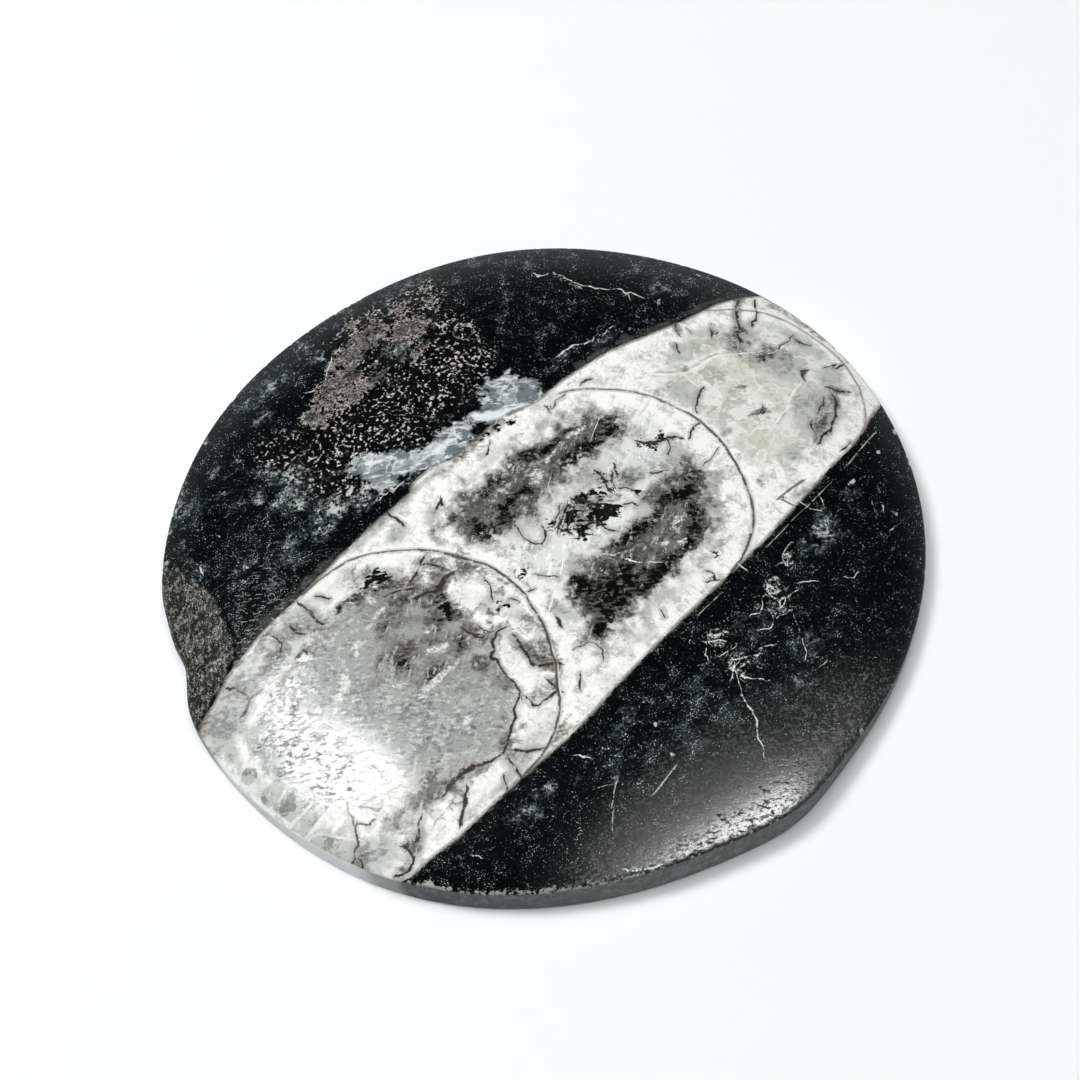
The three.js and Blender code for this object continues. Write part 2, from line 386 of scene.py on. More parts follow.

# Low ridges where one clear facet meets the next, drawn only in colour: white along the crest as a painted
# highlight and painted shade on the side above.
write_lines("ridge", [
    (0.3, [(21.3, 0.4), (21.35, 1.1), (21.5, 1.9)]),
    (0.34, [(19.6, 3.9), (20.3, 3.2), (21, 2.5), (21.5, 2.15), (22.3, 1.85), (23.2, 1.6), (24.2, 1.5),
        (25, 1.45), (25.7, 1.2), (26.4, 0.7), (27.2, 0.1), (28, -0.5), (28.6, -0.95), (29.4, -1.3)]),
    (0.28, [(29.5, -1.9), (30.6, -2.25), (32, -2.15)]),
    (0.3, [(29, -6.4), (27.8, -6.55), (27, -6.8), (26, -7.2), (25.2, -7.6), (24.4, -7.6), (23.4, -7.9)]),
    (0.24, [(14.4, 1.5), (16, 1.7), (17.7, 2.2)]), (0.24, [(-7.2, -6.5), (-6, -5.9), (-5, -5.5)]),
    (0.2, [(9.6, 3.2), (10.6, 3.7), (12, 4.3)]), (0.2, [(2.3, 1.4), (2.9, 2.6), (3.8, 3.1)]),
], straight)

# A notch broken out of the shell's lower wall.
write_lines("notch", [
    (0.26, [(16.6, -13.7), (18.2, -13.75), (19.9, -13.95)]), (0.22, [(16.8, -14.1), (17.05, -15.1)]),
], straight)

# White calcite veins, which cut both the fossil and the black limestone round it.
VEINS = [
    (0.34, [(-4.6, -5.2), (-4.1, -5), (-3.5, -4.7), (-3, -4.1), (-2, -3.4), (-1, -2.9)]),
    (0.2, [(0.9, -6.4), (1.5, -6.9)]), (0.34, [(1.7, -8.2), (2.1, -8.8), (2.6, -9.4)]),
    (0.16, [(3.1, -9.9), (3.6, -10.5)]),
    (0.4, [(4.2, 13.4), (4.3, 12.3), (5, 11.9), (6.2, 11.3), (7, 10.3)]),
    (0.2, [(-3.5, 27.8), (-2.9, 27.4), (-1.5, 27.4), (-0.3, 28.1), (1, 29), (2.5, 29.3), (3.8, 29.8)]),
    (0.26, [(22, 21.8), (22.3, 21), (23, 20.5), (23.5, 20.2), (23.6, 19.3), (23.6, 18.6), (23.5, 17.6),
        (23.7, 16.9), (24.1, 16.5), (24.6, 15.6), (24.8, 15), (25.2, 14.5), (25.7, 13.9), (25.7, 13),
        (26.3, 12.8), (26.5, 12.2), (26.6, 11.4)]),
    (0.2, [(25.3, 12.2), (25.8, 12.6)]),
    (0.22, [(15.1, 12), (16, 11.9), (17.2, 11.8), (18, 11.3), (18.6, 11.1), (19.3, 11.5), (19.8, 10.8),
        (20.9, 10.9)]),
    (0.3, [(-23.8, 21), (-23.3, 21.6)]), (0.3, [(-8.2, 13), (-5.8, 13.2)]),
    (0.22, [(18, -15.4), (18.1, -16), (18, -16.6), (18.4, -17.2)]), (0.18, [(8.5, -15.8), (8.4, -16.6)]),
    (0.2, [(19.1, -16.9), (20, -16.3)]),
    (0.26, [(0.2, -22.3), (-0.3, -22.7), (-0.9, -23.5), (-1.5, -24.4), (-1.7, -25), (-1.75, -25.8),
        (-2.2, -26.4), (-2.6, -27.2)]),
    (0.4, [(-2.6, -27.2), (-3.3, -27.9)]),
    (0.24, [(-3.3, -27.9), (-3.7, -28.3), (-3.9, -29), (-4.3, -29.7)]),
    (0.22, [(-1.3, -22.7), (0.3, -22.2)]), (0.36, [(0.5, -21.8), (1.2, -22.3), (1.8, -22.9), (2.4, -23.3)]),
    (0.2, [(3.3, -23.1), (4.1, -23.5)]), (0.2, [(-0.2, -23.2), (0.4, -24.2), (1, -24.9)]),
    (0.22, [(0, -18.7), (0.6, -19.2), (1.2, -19.8), (1.4, -20.2)]),
    (0.2, [(0, -18.7), (-0.6, -19.3), (-0.9, -19.9)]), (0.2, [(0.2, -20.7), (0.8, -20.9), (1.6, -20.8)]),
    (0.22, [(5, -20), (5.7, -20.1), (6.4, -19.7), (7, -19.4), (8, -19.3), (8.6, -19), (9, -18.5)]),
    (0.2, [(8.3, -19.4), (8.4, -20.3)]),
    (0.2, [(7.8, -21.1), (8.2, -20.8), (8.9, -20.7), (9.3, -21.1), (8.5, -21.3), (7.8, -21.1)]),
    (0.2, [(9.3, -21.2), (10, -21.2)]),
    (0.2, [(4.7, -21.5), (5.2, -21.8), (5.7, -21.8), (6.2, -21.4), (6.7, -20.7)]),
    (0.2, [(6.8, -21.6), (7.5, -21.8), (8.3, -22.2)]),
    (0.2, [(8, -23), (7.3, -23.9), (6.6, -24.8), (6.2, -25.5), (5.5, -25.8)]),
    (0.22, [(11.4, -18.4), (11.8, -18.5), (12.2, -18.1), (12.8, -17.8), (13.8, -17.5)]),
    (0.18, [(11.8, -18.7), (12.3, -19)]), (0.2, [(10.8, -20.6), (11.3, -20.9), (12, -21.4)]),
    (0.2, [(15, -23.2), (15.4, -23.7), (16.1, -23.6)]), (0.2, [(6, -27.4), (6.5, -27.4)]),
    (0.2, [(23, -20.9), (23.5, -20.6)]), (0.2, [(22.2, -22.7), (22.8, -22.7)]),
    (0.22, [(-28.3, -16.8), (-28, -17.2)]), (0.2, [(-16, -17.9), (-15.5, -18.5)]),
    (0.4, [(-20.4, -27.3), (-19.2, -28.4), (-18.1, -29.3)]),
]
write_lines("vein", VEINS)

# Straight scratches and hairlines in the black limestone.
write_lines("hairline", [
    (0.16, [(12, -16.25), (14, -16.2), (16, -16.05), (18, -16.05), (20, -15.95), (21.7, -15.85)]),
    (0.2, [(24.4, -15.6), (25, -15.55), (26, -15.35), (27, -15.2), (28.5, -14.95), (30, -14.7)]),
    (0.18, [(2, -16.5), (4.7, -16.5)]), (0.22, [(-15.4, -21.9), (-16.2, -22.3), (-17.2, -23)]),
    (0.16, [(-17.2, -20.9), (-16.2, -21.5)]), (0.2, [(-17.6, -23.4), (-18.1, -23.8), (-18.8, -24.4)]),
    (0.26, [(-14, -25), (-12.5, -24.9), (-10.9, -24.75)]),
], straight)

# A dull grey strip where the rock meets the upper wall.
write_lines("strip", [
    (0.55, [(-27, 12.6), (-24, 12.7), (-20, 12.4), (-15, 12.35)]),
    (0.6, [(15.5, 10.0), (18, 9.6), (20, 9.1), (22, 8.5), (24, 7.9), (27, 7.0), (29, 6.7), (31, 6.4),
        (33, 5.9), (36, 4.8)]),
], straight)

# Clear grey calcite that filled the three chambers.
CLEAR_FIRST = [
    (-29, 7.6), (-26, 8.2), (-22, 8), (-18, 8), (-14.5, 6.8), (-13.4, 4.4), (-13.2, 1.8), (-12.6, -0.5),
    (-12.8, -3.4), (-11.6, -4.6), (-13.3, -5.4), (-14.2, -8), (-15, -9.8), (-18, -11.7), (-19.9, -12.5),
    (-22.3, -11.8), (-24.3, -10.9), (-27, -10.2), (-30, -8.4), (-32.6, -6), (-34.5, -2), (-34, 2),
    (-34, 5.4), (-32.4, 7.0),
]
CLEAR_THIRD = [
    (18.9, 2.6), (20.5, 4.0), (23, 4.9), (26, 4.6), (29, 3.6), (31.5, 2.2), (33.4, 0.4), (34.2, -2),
    (34, -5.5), (33, -8.4), (31, -10.4), (28, -12.0), (24, -12.4), (20, -11.6), (18.0, -9.4), (18.6, -6),
    (18.9, -2),
]
CLEAR_SECOND = [
    (-6.6, 7.2), (0, 7.4), (5, 7), (10, 6.4), (13.6, 4), (15.4, 0.5), (15.6, -4), (14, -7.5), (12, -10),
    (8.5, -12), (0, -12.4), (-7, -12.2), (-6.6, -9), (-5.4, -6), (-5.2, 0),
]
write_patches("clear_first", [CLEAR_FIRST])
write_patches("clear_second", [CLEAR_SECOND])
write_patches("clear_third", [CLEAR_THIRD])

# Facets of clear calcite: grey ones at the wide end, and faintly green ones in the third chamber.
write_patches("slate", [
    [(-35.9, 4.2), (-35.4, 4.65), (-34.8, 4.5), (-34.5, 3.8), (-34.8, 3.3), (-35.5, 3.15), (-35.95, 3.5)],
    [(-36.2, 1.5), (-35.4, 1.9), (-34.1, 1.6), (-33.9, 0.6), (-35.0, 0.2), (-36.3, 0.5)],
    [(-36.1, 0.1), (-34.9, -0.1), (-33.8, 0.2), (-33.2, -1.4), (-33.6, -2.4), (-35.2, -2.3),
     (-36.1, -2.0)],
    [(-36.4, -2.5), (-35.1, -2.6), (-33.5, -2.7), (-33.0, -4.0), (-36.2, -3.9)],
    [(-36.2, -4.6), (-35.5, -4.8), (-34.0, -7.7), (-35.4, -8.6), (-36.1, -6.8)],
], (), straight)
write_patches("facet", [
    [(-35.9, -4.2), (-33.0, -4.2), (-32.5, -5.6), (-34.9, -5.6)],
    [(-34.8, -5.9), (-32.7, -5.9), (-33.0, -7.0), (-34.0, -7.4)],
    [(25.3, -7.8), (27, -7.1), (29.9, -6.7), (30.4, -8.2), (28.6, -9.2), (26.2, -8.8)],
    [(18.7, 2.2), (21.2, 1.9), (21.1, 0.2), (21.2, -0.4), (19.2, -1.5), (18.5, -0.4)],
    [(22.4, 1.3), (24.2, 1.1), (24.4, -0.6), (23.4, -1.6), (22.2, -0.8)],
    [(21.8, 5.4), (22.0, 4.2), (22.8, 2.9), (24.6, 2.2), (27, 1.6), (28, 2.4), (25.6, 4.2), (23.4, 5.2)],
], (), straight)
write_patches("jade", [
    [(21.8, 1.8), (23.2, 1.5), (25, 1.2), (26.6, 0.4), (27.6, -0.7), (27.5, -3), (28.8, -4.6),
     (27.4, -6.4), (25.4, -6.9), (24.5, -5), (24.7, -2.8), (24.3, -0.5), (22.4, 0.4)],
    [(18.7, -6.6), (21, -6.3), (22.4, -7.8), (23.2, -9.2), (22, -11.4), (20, -11.2), (18.4, -10),
     (17.8, -8.6)],
])

# Dark olive-brown mud that settled in the middle chamber, and traces of it in the other two.
MUD = [
    [(-6.6, 6.9), (-4, 7.3), (0, 7.4), (3, 7.2), (4.5, 6.6), (7, 6.2), (9, 6.2), (10.4, 5.6),
     (11.8, 4.7), (12.7, 3.4), (12.8, 1.9), (11.7, 1.3), (10.4, 1.9), (8, 2.1), (6, 2.5), (4, 1.9),
     (3, 2.2), (0, 1.7), (-2, 1.9), (-4, 2.2), (-5.8, 3.2)],
    [(-3.6, -5.8), (-2, -5.6), (0, -5.8), (2, -6.1), (4, -6.2), (7, -6.2), (9.5, -5), (11, -4.9),
     (13.6, -5.2), (14.4, -6.4), (13.6, -7.6), (12.6, -8.6), (11.8, -9.6), (10.6, -10.8), (8.5, -11.6),
     (5, -11.9), (1, -11.9), (-2, -12.2), (-4, -11.8), (-6.9, -12.1), (-7.2, -11), (-5.3, -9.9),
     (-4.6, -8)],
    [(-30.5, -9), (-28.5, -8.7), (-25.5, -9), (-23.5, -10.8), (-26.8, -10.9), (-28, -10.5),
     (-30.5, -9.8)],
    [(28, -0.8), (29.5, -1.3), (30, -2), (28.8, -3), (27.9, -2.9)],
    [(28.2, 0.8), (29.6, 1.9), (29.2, 0.8), (28.6, 0.6)],
]
write_patches("mud", MUD)

# The darkest parts of that mud, soft at their edges.
write_clouds("murk", [
    (-4.3, 3.9, 1.1, 1.7, 0, 1.0), (-1.4, 3.7, 2.8, 1.2, 2, 0.8), (1.6, 3.6, 1.4, 0.7, 0, 0.8),
    (5.8, 5.6, 2.4, 0.55, -6, 1.1), (9.6, 5.2, 1.8, 0.5, -20, 0.8), (8.2, 3.0, 4.2, 0.7, 0, 1.1),
    (11.6, 3.2, 1.0, 1.0, 0, 1.05), (-0.6, 6.5, 3.4, 0.6, 0, 0.7), (-3.6, -6.8, 0.9, 1.2, 20, 0.55),
    (4.2, 6.4, 1.6, 0.5, -10, 0.8), (-5.4, 6.4, 1.0, 0.6, 0, 0.6), (12.6, -6.8, 1.4, 0.8, 20, 1.0),
    (4.6, -6.8, 4, 0.7, 0, 1.0), (-5.6, -11.2, 1.4, 0.6, 30, 1.0), (-0.8, -9.4, 2.8, 1.9, 8, 1.6),
    (-3.4, -10.6, 2.6, 0.9, 20, 1.1), (2.6, -11.0, 3.4, 0.7, 0, 1.2), (-3.0, -7.0, 1.2, 1.4, 20, 1.0),
    (-3.6, -9.2, 1.2, 1.0, 0, 0.9), (7.8, -10.6, 2.8, 0.8, 20, 1.15), (10.2, -9.0, 1.6, 0.8, 50, 1.1),
    (10.6, -7.0, 2.4, 0.9, -10, 1.15), (6, -7.0, 3.4, 0.55, 0, 0.9), (12.6, -6.4, 1.3, 0.9, 0, 0.8),
    (1.2, -6.8, 2, 0.6, 0, 0.6), (4.6, -9.4, 2, 0.8, 0, 0.45), (28.8, 1.6, 1.0, 0.55, 42, 0.75),
    (28.7, -2.2, 0.8, 0.9, 0, 0.7), (-28, -9.8, 2.4, 0.6, -8, 0.35), (28.8, -1.9, 0.8, 0.7, 0, 0.6),
    (-18, 8.0, 2.4, 0.5, -8, 0.55), (-22.6, 8.3, 1.6, 0.4, 0, 0.3), (-14.4, 6.9, 1, 0.9, -20, 0.6),
    (-12.6, 2.4, 1.6, 0.5, 10, 0.6), (-12.8, 0.4, 0.7, 1.4, 0, 0.6), (-9.4, 0.6, 0.7, 0.8, 0, 0.35),
    (-23.6, -11, 2, 0.4, -20, 0.35),
])

# Depths in the clear calcite of all three chambers, where dark rock shows through.
write_clouds("gloom", [
    (-16.5, -1.0, 3.6, 4.6, 0, 0.45), (-16, 4.8, 3.4, 2.6, 0, 0.45), (-14.8, -7, 1.2, 3.5, 0, 0.42),
    (-22, 7.4, 3, 0.6, 0, 0.35), (-10.5, -9.2, 1.2, 2.4, -20, 0.6), (-9.0, -6.0, 0.8, 2.4, -15, 0.4),
    (-13.6, -11.2, 1.6, 1.0, 0, 0.4), (-11.6, 5.0, 2.0, 1.4, 20, 0.45), (-8.4, -1.8, 0.6, 1.8, 0, 0.35),
    (-13.4, 2.2, 1.4, 2.6, 0, 0.9), (-13.0, -2.6, 0.8, 1.2, 0, 0.8), (-10.6, 3.4, 1.6, 1.1, 20, 0.7),
    (-8.2, 2.6, 0.8, 1.6, -20, 0.7), (-14.0, 6.2, 0.8, 1.4, 0, 0.8), (-30, -9.6, 1.8, 0.7, -10, 0.7),
    (-27.4, -9.3, 2.6, 1.2, -24, 0.8), (-18.8, 0.0, 1.7, 1.5, 10, 1.05), (-18.9, 1.0, 1.4, 1.0, 0, 0.75),
    (-18.2, -2.6, 1.9, 0.6, -8, 0.85), (2.8, -1.8, 3.6, 2.0, 0, 0.42), (8.6, -2.0, 1.8, 1.4, 0, 0.4),
    (12.2, -4.2, 2.4, 1.0, -30, 0.45), (-3, -5.6, 1.2, 0.5, 20, 0.5), (6, 1.3, 2.4, 0.5, 0, 0.4),
    (-14.8, -2.6, 1.5, 1.1, 10, 1.1), (-14.6, 0.5, 1.2, 1.3, 0, 0.9), (-17.0, 3.6, 2.6, 1.4, 15, 0.7),
    (-15.0, 4.6, 1.2, 1.2, 0, 0.85), (-20.6, 1.8, 1.5, 0.7, 20, 0.5), (-14.8, -5.6, 1.0, 1.0, -30, 1.0),
    (-15.2, -8.2, 0.9, 1.6, -15, 0.5), (-17.5, -6, 2, 0.8, -30, 0.35), (-22.8, 0.5, 1.6, 0.8, 0, 0.4),
    (-28.8, -9.3, 1.8, 0.7, -18, 0.9), (-26.4, -9.8, 2.0, 1.0, -16, 0.95),
    (-24.6, -10.8, 1.4, 0.5, -22, 0.95), (-15.0, 7.0, 1.2, 1.0, 0, 0.95), (-17.2, 7.4, 1.2, 0.5, 0, 0.7),
    (-12.9, 2.0, 0.8, 1.4, 0, 1.6), (-12.7, -0.2, 0.7, 1.0, 0, 1.1), (-13.6, 4.3, 0.6, 0.9, 20, 0.95),
    (-11.2, 2.7, 1.5, 0.45, 6, 1.35), (-9.6, 3.0, 0.7, 0.5, 20, 0.8), (-27.6, 7.7, 3.2, 0.4, 0, 0.4),
    (-22, 7.9, 2, 0.35, 0, 0.5), (-34.6, -9.2, 0.9, 0.8, -30, 0.7), (-8.0, 1.2, 0.6, 1.0, 0, 0.7),
    (-19, -12.0, 0.9, 0.6, 0, 0.75), (-9.4, 4.4, 0.8, 0.9, 0, 0.5), (-22.2, -12.2, 1.6, 0.35, -16, 0.9),
    (-11.2, -8.6, 0.45, 2.0, 4, 1.0), (-10.9, -10.6, 0.6, 0.7, 0, 1.1), (-14.6, -11.2, 0.5, 0.9, 0, 0.6),
    (-12.3, -11.4, 0.5, 0.6, 0, 0.7), (-13.0, -4.0, 0.5, 0.6, 0, 0.8), (-11.9, -1.0, 0.4, 0.5, 0, 0.7),
    (-31.2, -12.3, 0.6, 0.4, 0, 1.0), (28.7, 1.4, 1.1, 0.8, 30, 1.5), (28.7, -1.9, 0.9, 1.0, 0, 1.4),
    (28.4, -3.2, 1.0, 0.9, 0, 0.6), (30.3, -5.6, 0.7, 0.4, 30, 0.8), (29.6, -9.9, 0.9, 0.5, 40, 1.0),
    (26.6, -10.6, 1.8, 0.7, 20, 0.75), (31.2, -9.2, 0.7, 0.5, -40, 0.8), (24.8, -11.6, 0.8, 0.5, 0, 0.6),
    (29.4, 2.0, 1.0, 0.4, 40, 0.7), (23.4, -5.9, 0.8, 0.3, -25, 0.85), (30.6, -3, 0.9, 0.9, 0, 0.5),
    (32, 4.1, 0.6, 0.4, 0, 0.6),
])

# Black branching mineral growths and soot-black specks, some of which are painted shade in pits.
SOOT = [
    [(-16, 8.2), (-15, 8.4), (-13.5, 8.4), (-13.5, 7.2), (-14.5, 6.8), (-15.8, 7.5)],
    [(0.9, -2.2), (2.1, -2.1), (2.2, -3), (1.9, -3.6), (1.2, -3.8), (0.6, -3.6), (1, -3)],
    [(2.6, -2.4), (3.4, -1.9), (4.9, -2.1), (5.2, -2.8), (5.4, -3.6), (4.8, -4.3), (4.2, -3.9),
     (3.3, -3.8), (2.7, -3.6)],
    [(-0.7, 0.1), (0.1, -0.3), (0, -0.9), (-0.8, -0.5)],
    [(0.3, -1.0), (1.4, -0.5), (2.5, -0.3), (2.9, -1.6), (2.2, -1.9), (0.8, -1.8)],
    [(3.3, -0.1), (4.5, -0.1), (5.6, -0.9), (5.3, -1.9), (4.7, -1.3), (4.0, -0.9), (3.9, -1.8),
     (3.4, -1.6)],
    [(7.3, 0.4), (7.6, 0.1), (7.2, -1.1), (6.3, -1.8), (6.6, -0.9)],
    [(-0.5, -1.4), (0.4, -2.0), (0.5, -2.5), (-0.1, -2.2)],
    [(-13.4, -0.3), (-12.6, 0.2), (-12, 1), (-12.2, 1.8), (-13.2, 1.6)],
]
SOOT_AND_PIT_SHADE_SPOTS = [
    (11.2, 2.7, 0.4, 0.3), (11.5, 2.3, 0.3, 0.3), (7.8, -3.8, 0.28, 0.28), (12.2, -0.4, 0.3, 0.25),
    (12.7, -1.3, 0.25, 0.2), (14.2, -1.4, 0.25, 0.2), (-5.6, -2.2, 0.28, 0.28), (7.8, -13.4, 0.25, 0.2),
    # The specks from (-32.2, 4.5) to (-30.8, -2.7), on the polished left end, are painted shade in pits.
    (-32.2, 4.5, 0.25, 0.2), (-30.7, 2.8, 0.22, 0.2), (-29.4, 1.1, 0.22, 0.2), (-31.3, 1.2, 0.2, 0.2),
    (-31.6, 0.6, 0.2, 0.2), (-31.1, -0.4, 0.2, 0.2), (-30.8, -2.7, 0.25, 0.2), (3.2, 10.8, 0.3, 0.3),
    (4.8, 10.9, 0.3, 0.3), (6.5, 10.5, 0.3, 0.25), (-9.5, -2.9, 0.2, 0.2), (-9.3, -3.5, 0.2, 0.2),
]
write_patches("soot_and_pit_shade", SOOT, SOOT_AND_PIT_SHADE_SPOTS)
write_clouds("branch", [
    (2.6, -1.6, 3.0, 1.9, 0, 1.0), (7.4, -1.4, 1.6, 1.6, 20, 0.8), (13.6, -1.5, 1.8, 0.8, -30, 0.7),
    (-29.6, 5.6, 2.4, 2.4, 30, 0.8), (-27, 8.6, 4.5, 0.9, 4, 0.6), (27.5, -10, 2.6, 1.3, 25, 0.6),
    (-12.4, 1.4, 1.2, 3.4, 10, 0.8), (-8.6, 2.2, 1, 1.4, 0, 0.7), (31, -2, 1.6, 3, 0, 0.3),
])

# Zones where the white calcite stands in separate blocks with dark seams between them.
write_clouds("seamed", [
    (-11.4, 3.4, 2.8, 4.4, 30, 1.1), (-11.2, -5.5, 2.2, 5.5, 5, 0.9), (-17, -13, 5, 1.6, 0, 0.5),
    (-27, -12.5, 5, 1.8, -10, 0.6), (-26, 9.8, 8, 1.5, 2, 0.7), (-15.6, 9.3, 2.6, 1.6, -10, 0.7),
    (-34.2, -8.5, 1.4, 2, 5, 0.6), (5, 0.2, 8, 2.6, 0, 0.35), (-6, -4, 2, 6, 0, 0.4),
    (28, -8, 5, 4, 30, 0.4),
])

# Soft brown iron stains and soft grey clouds in the white calcite.
write_clouds("rust", [
    (-18.6, -0.2, 1.8, 1.8, 20, 0.85), (-14.8, -1.6, 1.3, 2.4, 5, 0.9), (-15.3, 6.6, 1.3, 0.7, 0, 0.9),
    (-19, -12, 1, 0.7, 10, 1.0), (12, -9.5, 1.5, 1.4, 50, 1.0), (22, 2.4, 0.5, 0.4, 0, 0.9),
    (24, -2.8, 0.7, 0.6, 0, 0.9), (19.6, 2.2, 0.5, 0.4, 0, 0.6), (28.6, 1.6, 1.2, 0.9, 30, 0.9),
    (-33, -12.7, 1.2, 0.5, 20, 0.8), (-15, -15.6, 2.2, 0.5, 0, 0.7), (3, 10.9, 5, 0.6, -3, 1.0),
    (5, 0, 5, 3, -20, 0.25), (11.6, 0.5, 1.5, 2.5, 0, 0.3), (-6.5, -13.8, 3, 0.8, 0, 0.4),
    (8, -13, 4, 0.8, 3, 0.42), (16.8, -11, 0.7, 2, -30, 0.45), (-34, 10.6, 1.6, 0.5, 20, 0.7),
    (36, -3, 0.6, 6, 0, 0.7), (17.9, 1.6, 0.4, 2.6, 10, 0.55), (14.2, -8, 1.2, 2.4, -30, 0.5),
    (36, 0, 0.8, 5, 0, 0.6), (33.5, 5, 2, 0.8, -20, 0.7), (-26, 11.7, 6, 0.3, 2, 0.7),
    (-8.6, -6.6, 0.4, 1.8, -25, 0.6), (-7.4, -1.2, 0.35, 2.6, 0, 0.6), (24, -2.8, 0.5, 0.5, 0, 1.2),
    (24, 2.0, 1.2, 0.25, -12, 0.5), (-15.4, -15.2, 2.6, 0.3, 12, 0.9),
])
write_clouds("haze", [
    (-27.5, 9.9, 7.5, 1.7, 2, 0.95), (-35.2, 0, 1.4, 8, 0, 0.32), (-33.6, 8.8, 2.6, 2.0, 20, 0.65),
    (-29.5, 9.0, 2.6, 0.8, 4, 0.75), (-24.2, 9.3, 2.6, 0.9, 3, 0.95), (-20.8, 9.7, 0.5, 1.5, 0, 1.0),
    (-33.2, -10.4, 2.4, 2.2, 20, 0.5), (-9, -4, 1.0, 4, 0, 0.35), (19.8, 0.4, 1.3, 1.8, 0, 0.55),
    (19, -5.4, 0.9, 0.3, 0, 0.7), (23.7, 4.9, 0.3, 0.7, -35, 0.8),
    (25.6, 6.1, 0.3, 0.8, -30, 0.9), (27.8, 3.6, 0.4, 0.7, -40, 0.7), (30.6, 3.2, 2.4, 0.5, 40, 0.7),
    (33.4, -3, 0.4, 0.5, 0, 0.9), (-1.8, 9, 0.3, 1.2, 0, 0.5), (-27.7, 9.8, 0.5, 1.6, 0, 1.0),
    (-25, 9.8, 0.5, 1.5, 0, 1.1), (-22.8, 9.8, 0.6, 1.4, 0, 1.1), (-16.4, 9.9, 1.4, 0.8, 0, 0.6),
    (-13.6, 7.2, 1.4, 0.8, -30, 0.8), (-13.4, 4.4, 1.0, 1.6, 10, 0.9), (-11.6, 3.0, 1.6, 0.8, 10, 0.95),
    (-9.1, 2.2, 0.9, 1.2, 0, 0.9), (-12.8, -1.4, 0.9, 1.6, 0, 0.75), (-14.6, -4.8, 1, 0.8, 0, 0.8),
    (-12.2, -4.2, 1.1, 0.8, 0, 0.7), (-11.3, -7, 0.6, 2, 5, 0.85), (-9.3, -5.2, 0.6, 2, 15, 0.5),
    (-12.6, -11.6, 1.5, 0.8, 0, 0.55), (9, -5.5, 3.5, 0.7, 2, 0.8), (-2, -5, 2.5, 0.6, -20, 0.4),
    (3, -13.2, 9, 1.2, 1, 0.28), (-19, -14.2, 4, 0.9, 6, 0.5), (21, 6, 3, 1, -20, 0.12),
    (29.2, -4, 1.8, 1.4, 0, 0.8), (27, -10, 3, 2, 30, 0.8), (21.8, -11.4, 0.9, 1, 0, 0.55),
    (6, 0.5, 4.5, 1.6, 0, 0.4), (9, -2.2, 1.4, 1.1, 0, 0.75), (19, -5.3, 1, 0.5, 0, 0.6),
    (-34.2, -9.3, 1.6, 1.4, 40, 0.95), (-30.6, -12.2, 1.5, 0.9, 20, 0.65),
    (-27.4, -10.4, 2.4, 0.7, -10, 0.6), (27, 4, 3, 0.9, -18, 0.4), (-8, 11.5, 6, 0.5, 0, 0.6),
    (-10, 9.5, 1.5, 1, 0, 0.5), (33.4, -3, 1, 3, 0, 0.5), (2, 8.5, 4, 0.7, 0, 0.35),
    (-4, -9.5, 1, 1.4, 0, 0.7), (18.7, -14.6, 1.6, 0.4, 0, 0.5), (13.5, -3.5, 1.6, 2, 0, 0.45),
    (-2.5, 0.8, 2, 1.4, 0, 0.35), (-6.6, 8.6, 1.2, 0.9, 20, 0.5), (7.6, 7.6, 2.4, 0.5, -6, 0.4),
    (29.6, 1.6, 1.8, 1.2, 30, 0.7), (31.8, -8, 1.4, 2, 20, 0.45), (23, 3.6, 2, 0.7, 0, 0.28),
    (-6.2, -7.4, 0.9, 1.6, 10, 0.5), (-34.8, 6.6, 0.9, 1.2, -10, 0.6), (-30, 8.2, 3, 0.8, 10, 0.6),
    (-24.2, 9.8, 1.8, 1.0, 0, 1.1), (-21.6, 9.4, 0.8, 1.2, 0, 1.0), (-20, 8.3, 5, 0.7, -3, 0.6),
    (-15, 8.6, 1.6, 0.7, -20, 0.7), (-11, 5.8, 1, 0.8, 0, 0.5), (-10.2, -1.8, 0.9, 1, 0, 0.45),
    (-9.6, -8.4, 0.8, 1, 0, 0.4), (-20, -13.2, 1, 0.8, 20, 0.45), (-3.5, -14.4, 2, 0.5, 0, 0.3),
    (-17.4, -14.4, 1.2, 0.5, 20, 0.4), (-22, -14.6, 2, 0.5, 0, 0.5),
])

